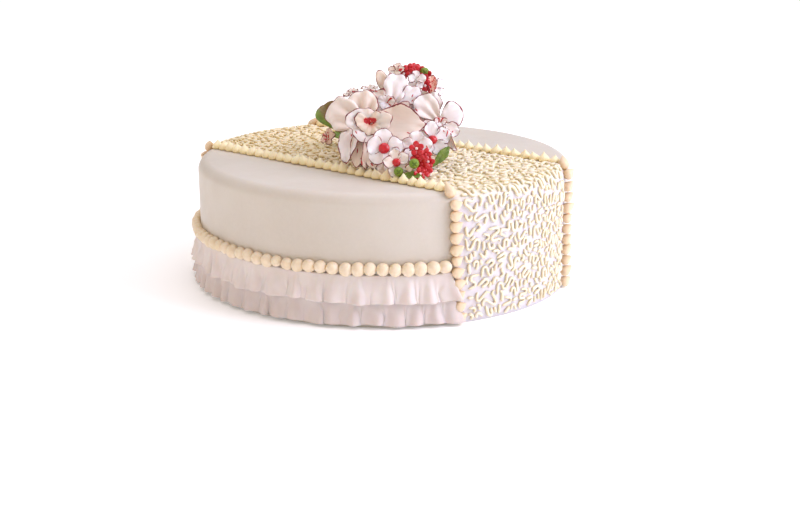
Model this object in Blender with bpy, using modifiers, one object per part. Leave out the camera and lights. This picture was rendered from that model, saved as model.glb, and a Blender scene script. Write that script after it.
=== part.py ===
"""A round, one-tier wedding cake, in metres, +Z up, standing on z = 0 with its axis on Z.

The cake is covered in smooth white paste. A band of piped lace runs over it along Y, between two
piped borders. The plain panel to the left of the band carries a row of piped pearls halfway up
its wall, with two frills of thin paste below it. A spray of sugar flowers stands on the band.
"""

import math

import bmesh
import bpy
from mathutils import Matrix, Quaternion, Vector

MM = 0.001
GAP = 0.3 * MM  # clearance between neighbouring pieces
SEAT_GAP = 0.45 * MM  # a row's straight steps stand this far off the round wall, to clear it

# The covered cake
CAKE_RADIUS = 133 * MM
CAKE_HEIGHT = 87 * MM
EDGE_ROUNDING = 8 * MM
ROUNDING_STEPS = 3
CAKE_STEPS = 72

# The band's two borders run along Y. Each has its place across the band at the foot and the head
# of the wall, and on top of the cake, because they were piped by hand.
BORDER_X = {"left": (-60.5 * MM, -65 * MM, -66 * MM), "right": (48.5 * MM, 47 * MM, 52 * MM)}
BORDER_STEPS = 14
FOOT_CLEARANCE = 1.1 * MM

# Piped dots: (pitch, half width, height), of the borders and of the pearls
TOP_DOT = (7.6 * MM, 4.1 * MM, 8.0 * MM)
SIDE_DOT = (7.6 * MM, 4.2 * MM, 5.8 * MM)
PEARL = (8.0 * MM, 4.2 * MM, 6.0 * MM)
PEARL_HEIGHT = 39 * MM
NECK_SHARE = 0.5  # how wide a row is where two dots meet
PEARL_LINE_STEPS = 60
WALL_ROW_END = EDGE_ROUNDING * 0.55  # how far short of the rounded edge's end a wall's row stops
TOP_ROW_START = TOP_DOT[0] * 0.2  # and how far past that end the row across the top starts

# The lace is a layer of squiggly piped lines, made here as a thin skin between the borders
LACE_THICKNESS = 1.6 * MM
LACE_STEPS = 14

# Frills of rolled paste, on the panel outside this border
FRILLED_PANEL = "left"
FRILL_THICKNESS = 1.4 * MM
FRILL_WAVE_LENGTH = 15 * MM
FRILL_STEPS_PER_WAVE = 6
UPPER_FRILL = {"top": 34.2 * MM, "hem": 17.0 * MM, "flare": 5.6 * MM, "wave": 1.8 * MM}
LOWER_FRILL = {"top": 18.6 * MM, "hem": 5.0 * MM, "flare": 4.6 * MM, "wave": 1.6 * MM}
FRILL_END_SPREAD = 3 * MM

# The spray has its own frame on the cake's top: -Y is its front, and it is turned to face a corner
SPRAY_TURN = math.radians(-49)
PETAL_THICKNESS = 1.4 * MM
LEAF_THICKNESS = 1.2 * MM
HEART_SHARE = 0.36  # how far a flower reaches between its petals

# Orchids: middle (x, y, z) in mm, facing (azimuth, elevation), the lip's own middle, facing and
# radius, and each petal's (direction, length in mm, half width in degrees, fullness of its end)
# round the flower
ORCHIDS = {
    "orchid_front": {
        "at": (-12, -52, 33),
        "facing": (-98, 36),
        "lip": ((-9.8, -60, 30.5), (-94, 18), 13),
        "petals": ((166, 28, 40, 4), (93, 20, 32, 4), (-7, 40, 46, 2), (244, 30, 30, 4), (276, 34, 24, 4)),
    },
    "orchid_top": {
        "at": (8, -31, 44),
        "facing": (-84, 36),
        "lip": ((3, -39.6, 43.3), (-96, 14), 6),
        "petals": ((22, 18, 36, 4), (84, 21, 36, 4), (128, 21, 22, 4), (190, 15, 34, 4), (262, 14, 50, 4)),
    },
    "orchid_right": {
        "at": (38, -30, 29),
        "facing": (-68, 34),
        "lip": ((38, -42, 30.5), (-84, 14), 4.6),
        "petals": ((12, 17, 44, 4), (138, 21, 40, 4), (-60, 20, 17, 3), (250, 14, 40, 4), (76, 13, 30, 4)),
    },
    "orchid_back": {
        "at": (8, 4, 31),
        "facing": (92, 36),
        "lip": ((8, 8.5, 34.3), (92, 36), 9),
        "petals": ((-5, 26, 40, 3), (80, 22, 34, 4), (160, 25, 38, 4), (222, 22, 30, 4), (290, 23, 34, 4)),
    },
}
ORCHID_CUP = 5
LIP_DEPTH_SHARE = 0.75
LIP_FOLDS = (45, 135, 270)
LIP_FOLD_HALF_WIDTH = 50
PETAL_FULLNESS = 4

# Small five-petalled blossoms: middle, facing, radius in mm, and the direction of one petal
BLOSSOMS = {
    "blossom_front": ((0.2, -82, 18.9), (-90, 22), 12.4, 90),
    "blossom_low": ((7.6, -90.2, 14.9), (-92, 12), 8.2, 250),
    "blossom_middle": ((21.3, -73, 18.2), (-86, 20), 10.6, 90),
    "blossom_right": ((32.5, -55, 19.6), (-78, 20), 12.2, 90),
    "blossom_left": ((-38.4, -20, 15.2), (-125, 28), 6.6, 90),
    "blossom_behind": ((-16, -26, 47), (-105, 68), 11, 90),
    "blossom_crown_left": ((9, -6, 59.2), (-108, 42), 6.4, 90),
    "blossom_crown": ((22.9, -14, 54), (-92, 18), 7.2, 90),
    "blossom_crown_right": ((35.8, -4, 47.8), (-24, 18), 8.6, 90),
    "blossom_back_left": ((-22, 16, 18), (135, 28), 11, 90),
    "blossom_back": ((14, 28, 14), (88, 20), 11, 90),
    "blossom_back_right": ((36, 14, 17), (48, 24), 10.5, 90),
}

BLOSSOM_PETALS = 5
BLOSSOM_PETAL_HALF_WIDTH = 35
BLOSSOM_CUP_SHARE = 0.22

# Sprigs of tiny red florets, as the line that each follows in mm, with its number of florets
SPRIGS = {
    "sprig_front": (((21, -87, 20.5), (24, -89.5, 16), (28.5, -89, 12), (26, -93, 8.5), (23.5, -96, 5.6)), 6),
    "sprig_crown": (((15.6, -6.0, 61), (20.8, -5, 61), (26.5, -6.5, 57), (30, -9, 51.5)), 4),
    "sprig_back": (((-8, 25, 17), (-8.5, 30, 12), (-9, 34.5, 7)), 3),
}
FLORET_HALF_WIDTH = 4.2
FLORET_HEIGHT = 6.0

# Closed buds: middle and radius in mm
BUDS = {
    "bud_low": ((12.6, -90.6, 5.2), 2.8),
    "bud_front": ((19.0, -97, 12.2), 3.2),
    "bud_crown": ((29.5, 0.5, 60), 3.1),
    "bud_back": ((9, 43, 6), 3.5),
}

# Leaves: stem end and tip in mm, half the leaf's width, and how far it is rolled over, in degrees
LEAVES = {
    "leaf_front": ((15.2, -92, 2.9), (27.5, -98, 2.9), 3, 0),
    "leaf_right": ((33, -69, 3.8), (45.5, -59.5, 8.0), 4, -15),
    "leaf_left": ((-29.5, -31, 19), (-42.5, -19, 38), 9, 60),
    "leaf_back_left": ((-27, 12, 3.8), (-42, 32, 8), 7, 0),
    "leaf_back": ((0, 37, 3.8), (-3, 57, 7), 6.5, 0),
}
LEAF_CURVE = 0.14
LEAF_FOLD = 0.25
LEAF_STEM_SHARE = 0.12

MOUND = {"at": (10, -17, 2.4), "radii": (26, 22, 46)}


def clear_scene():
    """Removes every object that the file holds."""
    for obj in list(bpy.data.objects):
        bpy.data.objects.remove(obj)


def material(name, colour, roughness):
    """A plain finish of one linear colour."""
    made = bpy.data.materials.new(name)
    made.use_nodes = True
    shader = made.node_tree.nodes["Principled BSDF"]
    shader.inputs["Base Color"].default_value = (*colour, 1)
    shader.inputs["Roughness"].default_value = roughness
    shader.inputs["Metallic"].default_value = 0
    return made


def add_object(name, data, finish, collection):
    """A new object of this mesh, with its finish, in the cake's collection."""
    data.materials.append(finish)
    obj = bpy.data.objects.new(name, data)
    collection.objects.link(obj)
    return obj


def mesh_from(shape, name):
    """The bmesh as a smooth-shaded mesh, with its faces turned outwards."""
    bmesh.ops.recalc_face_normals(shape, faces=shape.faces)
    data = bpy.data.meshes.new(name)
    shape.to_mesh(data)
    shape.free()
    data.shade_smooth()
    data.set_sharp_from_angle(angle=math.radians(50))
    return data


def add_cake(finish, collection):
    """The covered cake: a profile down its outer side, turned about Z."""
    shape = bmesh.new()
    profile = [Vector((0, 0, CAKE_HEIGHT))]
    for step in range(ROUNDING_STEPS + 1):
        turn = math.pi / 2 * step / ROUNDING_STEPS
        across = CAKE_RADIUS - EDGE_ROUNDING * (1 - math.sin(turn))
        up = CAKE_HEIGHT - EDGE_ROUNDING * (1 - math.cos(turn))
        profile.append(Vector((across, 0, up)))
    profile += [Vector((CAKE_RADIUS, 0, 0)), Vector((0, 0, 0))]
    corners = [shape.verts.new(point) for point in profile]
    for upper, lower in zip(corners, corners[1:]):
        shape.edges.new((upper, lower))
    data = bpy.data.meshes.new("cake")
    shape.to_mesh(data)
    shape.free()
    cake = add_object("cake", data, finish, collection)
    turned = cake.modifiers.new("turned", "SCREW")
    turned.steps = turned.render_steps = CAKE_STEPS
    turned.use_merge_vertices = True
    turned.merge_threshold = 0.00001
    return cake


def skin(x, rise):
    """A point on the front of the cake's skin, and its outward direction. The rise is 0 to 1 up the
    wall, and 1 to 2 over the rounded edge."""
    turn = math.pi / 2 * max(0, rise - 1)
    reach = CAKE_RADIUS - EDGE_ROUNDING * (1 - math.cos(turn))
    y = -math.sqrt(reach**2 - x**2)
    up = (CAKE_HEIGHT - EDGE_ROUNDING) * min(1, rise) + EDGE_ROUNDING * math.sin(turn)
    outward = Vector((x, y, 0)).normalized() * math.cos(turn) + Vector((0, 0, math.sin(turn)))
    return Vector((x, y, up)), outward


def border_x(side, rise):
    """A border's place across the band, as it climbs the wall and the rounded edge."""
    foot, head, top = BORDER_X[side]
    if rise < 1:
        return foot + (head - foot) * math.sin(math.pi / 2 * rise)
    return head + (top - head) * (rise - 1)


def border_line(side):
    """Points and outward directions up the front wall, round the edge and to the middle of the top."""
    rises = [step / BORDER_STEPS for step in range(2 * BORDER_STEPS + 1)]
    line = [skin(border_x(side, rise), rise) for rise in rises]
    line.append((Vector((border_x(side, 2), 0, CAKE_HEIGHT)), Vector((0, 0, 1))))
    return line


def along_line(line, distance):
    """The point, the direction of travel and the outward direction at a distance along a line."""
    for (start, out_a), (end, out_b) in zip(line, line[1:]):
        step = (end - start).length
        if distance <= step:
            share = distance / step
            outward = out_a.lerp(out_b, share).normalized()
            return start.lerp(end, share), (end - start).normalized(), outward
        distance -= step
    (before, _), (last, outward) = line[-2:]
    return last, (last - before).normalized(), outward


def line_length(line):
    """The length of a line of points."""
    return sum((b[0] - a[0]).length for a, b in zip(line, line[1:]))


def add_dot_row(name, line, start, end, dot, finish, collection):
    """A row of piped dots that touch: the section swells at each dot and shrinks between them."""
    pitch, half_width, height = dot
    count = max(1, round((end - start) / pitch))
    shape = bmesh.new()
    rings = []
    for index in range(2 * count + 1):
        swell = 1.0 if index % 2 else NECK_SHARE
        point, along, outward = along_line(line, start + (end - start) * index / (2 * count))
        across = along.cross(outward).normalized()
        section = ((-1, 0), (-0.85, 0.6), (0, 1), (0.85, 0.6), (1, 0))
        base = point + outward * SEAT_GAP
        rings.append(
            [
                shape.verts.new(base + across * s * half_width * swell + outward * h * height * swell)
                for s, h in section
            ]
        )
    for ring, following in zip(rings, rings[1:]):
        for i in range(len(ring)):
            j = (i + 1) % len(ring)
            shape.faces.new((ring[i], ring[j], following[j], following[i]))
    shape.faces.new(rings[0])
    shape.faces.new(rings[-1])
    return add_object(name, mesh_from(shape, name), finish, collection)


def mirrored_in_y(line):
    """The same line at the other end of the band, run from its foot as well."""
    flip = Vector((1, -1, 1))
    return [(point * flip, outward * flip) for point, outward in line]


def add_borders(finish, collection):
    """Each border: one row up each wall and over the edge, and one across the top between them."""
    for side in BORDER_X:
        front = border_line(side)
        climb = line_length(front[:-1])
        wall_end = climb - WALL_ROW_END
        for end, line in (("front", front), ("back", mirrored_in_y(front))):
            name = f"border_{side}_{end}"
            add_dot_row(name, line, FOOT_CLEARANCE, wall_end, SIDE_DOT, finish, collection)
        back = [(p, out) for p, out in reversed(mirrored_in_y(front))]
        whole = front + back[1:]
        across = line_length(whole)
        clear = climb + TOP_ROW_START
        name = f"border_{side}_top"
        add_dot_row(name, whole, clear, across - clear, TOP_DOT, finish, collection)


def add_rolled(name, shape, thickness, finish, collection, outwards=False):
    """A sheet with the thickness of rolled paste. It grows to both sides, or away from the cake."""
    sheet = add_object(name, mesh_from(shape, name), finish, collection)
    rolled = sheet.modifiers.new("thickness", "SOLIDIFY")
    rolled.thickness = thickness
    facing = sum(face.normal.dot(face.center) for face in sheet.data.polygons)
    rolled.offset = math.copysign(1, facing) if outwards else 0
    return sheet


def lace_edges(rise):
    """Where the lace starts and ends across the band, clear of both borders."""
    clear = SIDE_DOT[1] + SEAT_GAP
    return border_x("left", rise) + clear, border_x("right", rise) - clear


def add_lace(finish, collection):
    """The lace's skin: one piece on top of the cake, and one on each wall and over its edge."""
    shape = bmesh.new()
    bmesh.ops.create_grid(shape, x_segments=LACE_STEPS, y_segments=1, size=0.5)
    start, end = lace_edges(2)
    for vert in shape.verts:
        x = start + (end - start) * (vert.co.x + 0.5)
        reach = math.sqrt((CAKE_RADIUS - EDGE_ROUNDING - 2 * GAP) ** 2 - x**2)
        vert.co = Vector((x, 2 * vert.co.y * reach, CAKE_HEIGHT + SEAT_GAP))
    add_rolled("lace_top", shape, LACE_THICKNESS, finish, collection, outwards=True)

    rises = [FOOT_CLEARANCE / CAKE_HEIGHT, 1]
    rises += [1 + (step + 1) / ROUNDING_STEPS for step in range(ROUNDING_STEPS)]
    for name, flip in (("lace_front", 1), ("lace_back", -1)):
        shape = bmesh.new()
        bmesh.ops.create_grid(
            shape, x_segments=LACE_STEPS, y_segments=len(rises) - 1, size=0.5
        )
        for vert in shape.verts:
            rise = rises[round((vert.co.y + 0.5) * (len(rises) - 1))]
            start, end = lace_edges(rise)
            point, outward = skin(start + (end - start) * (vert.co.x + 0.5), rise)
            vert.co = (point + outward * SEAT_GAP) * Vector((1, flip, 1))
        add_rolled(name, shape, LACE_THICKNESS, finish, collection, outwards=True)


def panel_arc(height, clearance):
    """Where the frilled panel starts and ends round the cake, clear of its two borders."""
    x = border_x(FRILLED_PANEL, min(1, height / (CAKE_HEIGHT - EDGE_ROUNDING)))
    half = math.acos(abs(x) / CAKE_RADIUS) - clearance / CAKE_RADIUS
    middle = math.pi if x < 0 else 0.0
    return middle - half, middle + half


def add_pearls(finish, collection):
    """A row of round pearls along the frilled panel, halfway up the wall."""
    start, end = panel_arc(PEARL_HEIGHT, SIDE_DOT[1] + GAP)
    line = []
    for step in range(PEARL_LINE_STEPS + 1):
        turn = start + (end - start) * step / PEARL_LINE_STEPS
        outward = Vector((math.cos(turn), math.sin(turn), 0))
        line.append((outward * CAKE_RADIUS + Vector((0, 0, PEARL_HEIGHT)), outward))
    return add_dot_row("pearls", line, 0, line_length(line), PEARL, finish, collection)


def add_frill(name, form, finish, collection):
    """A gathered strip of rolled paste: plain along its top, and flared and waved at its hem."""
    start, end = panel_arc(form["hem"], SIDE_DOT[1] + FRILL_END_SPREAD + 2 * GAP)
    waves = round((end - start) * CAKE_RADIUS / FRILL_WAVE_LENGTH)
    shape = bmesh.new()
    bmesh.ops.create_grid(
        shape, x_segments=waves * FRILL_STEPS_PER_WAVE, y_segments=1, size=0.5
    )
    spread = FRILL_END_SPREAD / CAKE_RADIUS
    for vert in shape.verts:
        share, down = vert.co.x + 0.5, 0.5 - vert.co.y
        turn = start + (end - start) * share + spread * down * (2 * share - 1)
        wave = math.cos(math.tau * waves * share)
        out = CAKE_RADIUS + GAP + down * (form["flare"] + form["wave"] * wave)
        up = form["top"] + (form["hem"] - form["top"]) * down
        vert.co = Vector((out * math.cos(turn), out * math.sin(turn), up))
    add_rolled(name, shape, FRILL_THICKNESS, finish, collection, outwards=True)


def facing_matrix(at, azimuth, elevation):
    """Places a shape that faces +Z so that it faces this way, in the spray's frame."""
    turn = Matrix.Rotation(math.radians(azimuth), 4, "Z")
    tilt = Matrix.Rotation(math.radians(90 - elevation), 4, "Y")
    upright = Matrix.Rotation(math.radians(90), 4, "Z")
    return Matrix.Translation(Vector(at) * MM) @ turn @ tilt @ upright


def disc(rings, steps):
    """A flat disc of radius 1 with this many rings of faces."""
    shape = bmesh.new()
    points = [shape.verts.new((ring / rings, 0, 0)) for ring in range(rings + 1)]
    spokes = [shape.edges.new(pair) for pair in zip(points, points[1:])]
    bmesh.ops.spin(
        shape, geom=points + spokes, cent=(0, 0, 0), axis=(0, 0, 1), angle=math.tau,
        steps=steps, use_merge=True,
    )
    bmesh.ops.remove_doubles(shape, verts=shape.verts, dist=0.0001)
    return shape


def petal_reach(petals, turn):
    """How far a flower reaches in a direction: the longest of its petals there, or its heart."""
    reach = HEART_SHARE * max(petal[1] for petal in petals)
    for middle, length, half_width, fullness in petals:
        off = math.remainder(turn - math.radians(middle), math.tau) / math.radians(half_width)
        if abs(off) < 1:
            reach = max(reach, length * (1 - abs(off) ** fullness) ** (2 / fullness))
    return reach * MM


def add_flower(name, petals, cup, matrix, parent, finish, collection, rings=2, steps=40):
    """An open flower of one sheet, cut into petals and cupped, and thickened."""
    shape = disc(rings, steps)
    for vert in shape.verts:
        share = vert.co.xy.length
        turn = math.atan2(vert.co.y, vert.co.x)
        reach = petal_reach(petals, turn) * share
        vert.co = (reach * math.cos(turn), reach * math.sin(turn), cup * MM * share**2)
    flower = add_rolled(name, shape, PETAL_THICKNESS, finish, collection)
    flower.parent = parent
    flower.matrix_local = matrix


def add_orchids(finish, collection, spray):
    """Each orchid is a sheet of five petals, with a cupped lip that stands in front of it."""
    for name, form in ORCHIDS.items():
        azimuth, elevation = form["facing"]
        matrix = facing_matrix(form["at"], azimuth, elevation)
        add_flower(name, form["petals"], ORCHID_CUP, matrix, spray, finish, collection)
        at, (azimuth, elevation), radius = form["lip"]
        matrix = facing_matrix(at, azimuth, elevation)
        lip = [(turn, radius, LIP_FOLD_HALF_WIDTH, PETAL_FULLNESS) for turn in LIP_FOLDS]
        add_flower(
            f"{name}_lip", lip, radius * LIP_DEPTH_SHARE, matrix, spray, finish, collection,
            rings=2, steps=18,
        )


def add_blossoms(finish, collection, spray):
    """Small blossoms of five round petals."""
    for name, (at, (azimuth, elevation), radius, first) in BLOSSOMS.items():
        petals = [
            (first + 360 / BLOSSOM_PETALS * petal, radius, BLOSSOM_PETAL_HALF_WIDTH, PETAL_FULLNESS)
            for petal in range(BLOSSOM_PETALS)
        ]
        matrix = facing_matrix(at, azimuth, elevation)
        cup = radius * BLOSSOM_CUP_SHARE
        add_flower(name, petals, cup, matrix, spray, finish, collection, rings=1, steps=20)


def add_sprigs(finish, collection, spray):
    """Each sprig of florets is one lumpy piece along its line."""
    for name, (points, count) in SPRIGS.items():
        out = Vector((0, math.copysign(1, points[0][1]), 0.6)).normalized()
        line = [(Vector(point) * MM, out) for point in points]
        dot = (line_length(line) / count, FLORET_HALF_WIDTH * MM, FLORET_HEIGHT * MM)
        row = add_dot_row(name, line, 0, line_length(line), dot, finish, collection)
        row.parent = spray


def add_buds(finish, collection, spray):
    """Round closed buds."""
    for name, (at, radius) in BUDS.items():
        shape = bmesh.new()
        bmesh.ops.create_icosphere(shape, subdivisions=2, radius=radius * MM)
        bud = add_object(name, mesh_from(shape, name), finish, collection)
        bud.parent = spray
        bud.location = Vector(at) * MM


def add_leaves(finish, collection, spray):
    """Pointed leaves that arch from the stem end to the tip."""
    for name, (stem, tip, half_width, roll) in LEAVES.items():
        stem, tip = Vector(stem) * MM, Vector(tip) * MM
        run = tip - stem
        across = run.cross(Vector((0, 0, 1))).normalized()
        across.rotate(Quaternion(run, math.radians(roll)))
        over = across.cross(run).normalized()
        shape = bmesh.new()
        bmesh.ops.create_grid(shape, x_segments=5, y_segments=2, size=0.5)
        for vert in shape.verts:
            share, side = vert.co.x + 0.5, 2 * vert.co.y
            fullness = math.sin(math.pi * share**0.8) ** 0.8
            width = half_width * MM * (LEAF_STEM_SHARE + (1 - LEAF_STEM_SHARE) * fullness)
            arch = LEAF_CURVE * run.length * math.sin(math.pi * share)
            fold = abs(side) * LEAF_FOLD * width
            vert.co = stem + run * share + across * side * width + over * (arch + fold)
        leaf = add_rolled(name, shape, LEAF_THICKNESS, finish, collection)
        leaf.parent = spray


def add_mound(finish, collection, spray):
    """The dome of paste that the flowers are set into."""
    shape = bmesh.new()
    bmesh.ops.create_uvsphere(shape, u_segments=16, v_segments=8, radius=MM)
    cut = bmesh.ops.bisect_plane(
        shape, geom=shape.verts[:] + shape.edges[:] + shape.faces[:], dist=0.00001,
        plane_co=(0, 0, 0), plane_no=(0, 0, 1), clear_inner=True,
    )
    rim = [item for item in cut["geom_cut"] if isinstance(item, bmesh.types.BMEdge)]
    bmesh.ops.edgeloop_fill(shape, edges=rim)
    bmesh.ops.scale(shape, vec=MOUND["radii"], verts=shape.verts)
    mound = add_object("mound", mesh_from(shape, "mound"), finish, collection)
    mound.parent = spray
    mound.location = Vector(MOUND["at"]) * MM


def main():
    clear_scene()
    collection = bpy.data.collections.new("wedding_cake")
    bpy.context.scene.collection.children.link(collection)
    covering = material("covering_paste", (0.74, 0.67, 0.60), 0.5)
    piping = material("piped_icing", (0.86, 0.77, 0.55), 0.45)
    paste = material("frill_paste", (0.82, 0.75, 0.72), 0.55)
    petal = material("petal_paste", (0.86, 0.74, 0.68), 0.5)
    red = material("red_icing", (0.55, 0.02, 0.03), 0.35)
    green = material("leaf_paste", (0.12, 0.20, 0.04), 0.45)

    add_cake(covering, collection)
    add_borders(piping, collection)
    add_lace(piping, collection)
    add_pearls(piping, collection)
    add_frill("frill_upper", UPPER_FRILL, paste, collection)
    add_frill("frill_lower", LOWER_FRILL, paste, collection)

    spray = bpy.data.objects.new("spray", None)
    collection.objects.link(spray)
    spray.location = (0, 0, CAKE_HEIGHT)
    spray.rotation_euler = (0, 0, SPRAY_TURN)
    add_orchids(petal, collection, spray)
    add_blossoms(petal, collection, spray)
    add_sprigs(red, collection, spray)
    add_buds(green, collection, spray)
    add_leaves(green, collection, spray)
    add_mound(paste, collection, spray)


main()
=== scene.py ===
# %% [markdown]
# # A wedding cake with piped lace and sugar flowers
# The cake is one round tier, covered in rolled sugar paste. A band of piped lace runs over it, and
# a spray of sugar flowers stands on the band. This file builds what the eye sees: every piece is a
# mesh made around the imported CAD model, which stays as the fixed frame, and rides on its one body.

# %% Load the frame
import math
import random

import bmesh
import bpy
from mathutils import Matrix, Vector, noise


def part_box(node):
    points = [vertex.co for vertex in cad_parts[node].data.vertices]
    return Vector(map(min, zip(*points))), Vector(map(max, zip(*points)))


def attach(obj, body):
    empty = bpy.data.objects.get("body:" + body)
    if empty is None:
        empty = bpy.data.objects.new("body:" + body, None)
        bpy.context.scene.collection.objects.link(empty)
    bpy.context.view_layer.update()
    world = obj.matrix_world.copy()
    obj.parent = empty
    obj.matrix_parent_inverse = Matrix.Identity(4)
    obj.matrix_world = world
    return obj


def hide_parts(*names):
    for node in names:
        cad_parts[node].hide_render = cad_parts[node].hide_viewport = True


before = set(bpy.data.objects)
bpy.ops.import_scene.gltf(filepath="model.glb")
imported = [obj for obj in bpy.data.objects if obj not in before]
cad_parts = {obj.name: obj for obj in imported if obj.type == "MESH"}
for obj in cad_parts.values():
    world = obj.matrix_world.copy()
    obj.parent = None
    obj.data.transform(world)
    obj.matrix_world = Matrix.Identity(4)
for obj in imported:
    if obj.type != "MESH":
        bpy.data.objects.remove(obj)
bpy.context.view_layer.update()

MM = 0.001

# %% [markdown]
# ## Sizes
# All sizes are in metres, in the frame's own axes: the lace band runs along Y, and its front end is
# at -Y. The pieces are worked out from the cake's radius and height, which the frame gives. The
# flowers are placed in millimetres in a frame of their own, the spray's, which stands on the middle
# of the top and is turned so that its -Y looks towards the front.

# %% Sizes that several pieces share
_, cake_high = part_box("cake")
RADIUS = cake_high.x
HEIGHT = cake_high.z
EDGE = 8 * MM  # radius of the rounded top edge
# Each border's place across the band: at the wall's foot, at its head, and on top.
BORDER_X = {"left": (-60.5 * MM, -65 * MM, -66 * MM), "right": (48.5 * MM, 47 * MM, 52 * MM)}
FRONT_TURN = Matrix.Rotation(math.radians(-49), 4, "Z")
SPRAY_MM = Matrix.Translation((0, 0, HEIGHT)) @ FRONT_TURN @ Matrix.Scale(MM, 4)
print("cake radius", round(RADIUS, 4), "height", round(HEIGHT, 4))

# %% [markdown]
# ## Camera
# The camera stands in front of the band's left-hand corner and looks a little down, so that the
# band shows on the top and on the right of the wall. It is set first, because each piece is judged
# through it.

# %% Camera
CAMERA_AWAY, CAMERA_UP, CAMERA_DIP = 0.90907, 0.2679, 0.2805  # metres, metres and radians
lens = bpy.data.cameras.new("camera")
lens.lens = 57.7
lens.sensor_width = 36
lens.shift_x = 0.0203
camera = bpy.data.objects.new("camera", lens)
bpy.context.scene.collection.objects.link(camera)
camera.matrix_world = (
    FRONT_TURN
    @ Matrix.Translation((0, -CAMERA_AWAY, CAMERA_UP))
    @ Matrix.Rotation(math.pi / 2 - CAMERA_DIP, 4, "X")
)
bpy.context.scene.camera = camera
print("camera is", round(camera.matrix_world.translation.length, 3), "m from the cake's foot")

# %% [markdown]
# ## Colours and nodes
# A colour is written as the hex code that a paint chart gives, and one function turns it to the
# linear values that Blender's shaders work in. Another adds one node of any kind, so that a
# material reads as a short list of nodes.

# %% A colour and a node
def hex_colour(code):
    """An sRGB hex colour as linear red, green, blue and alpha."""
    parts = [int(code[i : i + 2], 16) / 255 for i in (1, 3, 5)]
    linear = [p / 12.92 if p <= 0.04045 else ((p + 0.055) / 1.055) ** 2.4 for p in parts]
    return (*linear, 1.0)


def add_node(finish, kind, values=(), output=0, **settings):
    """Adds a node to a material and returns one of its outputs. Its settings are named. Its values
    come in the order of its inputs or by input, and each is a number, a hex colour or an output."""
    tree = finish.node_tree
    node = tree.nodes.new("ShaderNode" + kind)
    for key, value in settings.items():
        setattr(node, key, value)
    for key, value in (values if isinstance(values, dict) else dict(enumerate(values))).items():
        if isinstance(value, bpy.types.NodeSocket):
            tree.links.new(value, node.inputs[key])
        else:
            node.inputs[key].default_value = hex_colour(value) if isinstance(value, str) else value
    return node.outputs[output]


print("white is", hex_colour("#FFFFFF"))

# %% [markdown]
# ## Light
# Soft light, as in a small studio. The light from the right is a little cool and that of the room
# a little warm, which gives white icing its cream and lilac sides. Area lights are used because
# their shadows have soft edges.

# %% Lights and the room
def add_light(name, at, size, watts, colour):
    """A square area light that faces the cake. Its place is given as the camera sees it."""
    light = bpy.data.lights.new(name, "AREA")
    light.size = size
    light.energy = watts
    light.color = hex_colour(colour)[:3]
    lamp = bpy.data.objects.new(name, light)
    bpy.context.scene.collection.objects.link(lamp)
    lamp.location = FRONT_TURN @ Vector(at)
    aim = Vector((0, 0, 0.05)) - lamp.location
    lamp.rotation_euler = aim.to_track_quat("-Z", "Y").to_euler()


add_light("key", (1.25, -0.4, 0.8), 0.9, 18, "#EDEBFF")
add_light("fill", (-1.1, -0.9, 0.9), 1.4, 3.3, "#FFD0A0")
add_light("above", (0.1, 0.3, 1.4), 1.4, 9.5, "#EAEBFF")

room = bpy.data.worlds.new("room")
room.use_nodes = True
room.node_tree.nodes["Background"].inputs["Color"].default_value = hex_colour("#FFF8F2")
room.node_tree.nodes["Background"].inputs["Strength"].default_value = 0.55
bpy.context.scene.world = room
bpy.context.scene.view_settings.view_transform = "Standard"
print("3 lights and a warm room")

# %% [markdown]
# ## How a finish is made
# Each finish is a Principled shader. Icing and sugar paste let some light in, so they all have some
# subsurface. The colour is laid as a maker lays it: a first tone, and then coats over it. A coat
# can follow noise of a real size, an axis of the piece, or a value that the mesh carries, such as
# how far a point is from a petal's edge.

# %% Helpers for finishes
def new_finish(name, roughness, subsurface, depth, warmth=(1.0, 0.6, 0.35), **constants):
    """A Principled material that lets light in to a depth in mm. Constants go to the shader's own
    sockets."""
    finish = bpy.data.materials.new(name)
    finish.use_nodes = True
    sockets = finish.node_tree.nodes["Principled BSDF"].inputs
    sockets["Roughness"].default_value = roughness
    sockets["Subsurface Weight"].default_value = subsurface
    sockets["Subsurface Radius"].default_value = warmth
    sockets["Subsurface Scale"].default_value = depth * MM
    for key, value in {"IOR": 1.45, **constants}.items():
        sockets[key.replace("_", " ")].default_value = value
    return finish


print("every finish has an IOR near 1.45, as sugar and fat do")

# %% What a coat follows
def reading(finish, source):
    """What a coat or a bump follows: an axis of the piece, the name of a value that its mesh
    carries, or noise, as its size in mm, its detail and an offset. An output stays as it is."""
    if isinstance(source, bpy.types.NodeSocket):
        return source
    if source in ("lift", "rim", "tint", "blush", "vein"):
        return add_node(finish, "Attribute", output="Fac", attribute_name=source)
    place = add_node(finish, "TexCoord", output="Object")
    if source in ("X", "Y", "Z"):
        return add_node(finish, "SeparateXYZ", [place], source)
    size, detail, offset = source
    values = {"Vector": place, "Scale": 1 / (size * MM), "Detail": detail, "W": offset}
    return add_node(finish, "TexNoise", values, noise_dimensions="4D")


print("a source is an axis, a value or noise")

# %% Coats of colour
def coated(finish, tone, *coats):
    """Lays coats over a first tone. A coat is what it follows, where on that scale it starts and is
    full, how strong it is at those two places if not 0 and 1, and its colour."""
    for source, *scale, colour in coats:
        share = add_node(finish, "MapRange", (reading(finish, source), *scale))
        tone = add_node(finish, "Mix", {0: share, 6: tone, 7: colour}, 2, data_type="RGBA")
    return tone


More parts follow.
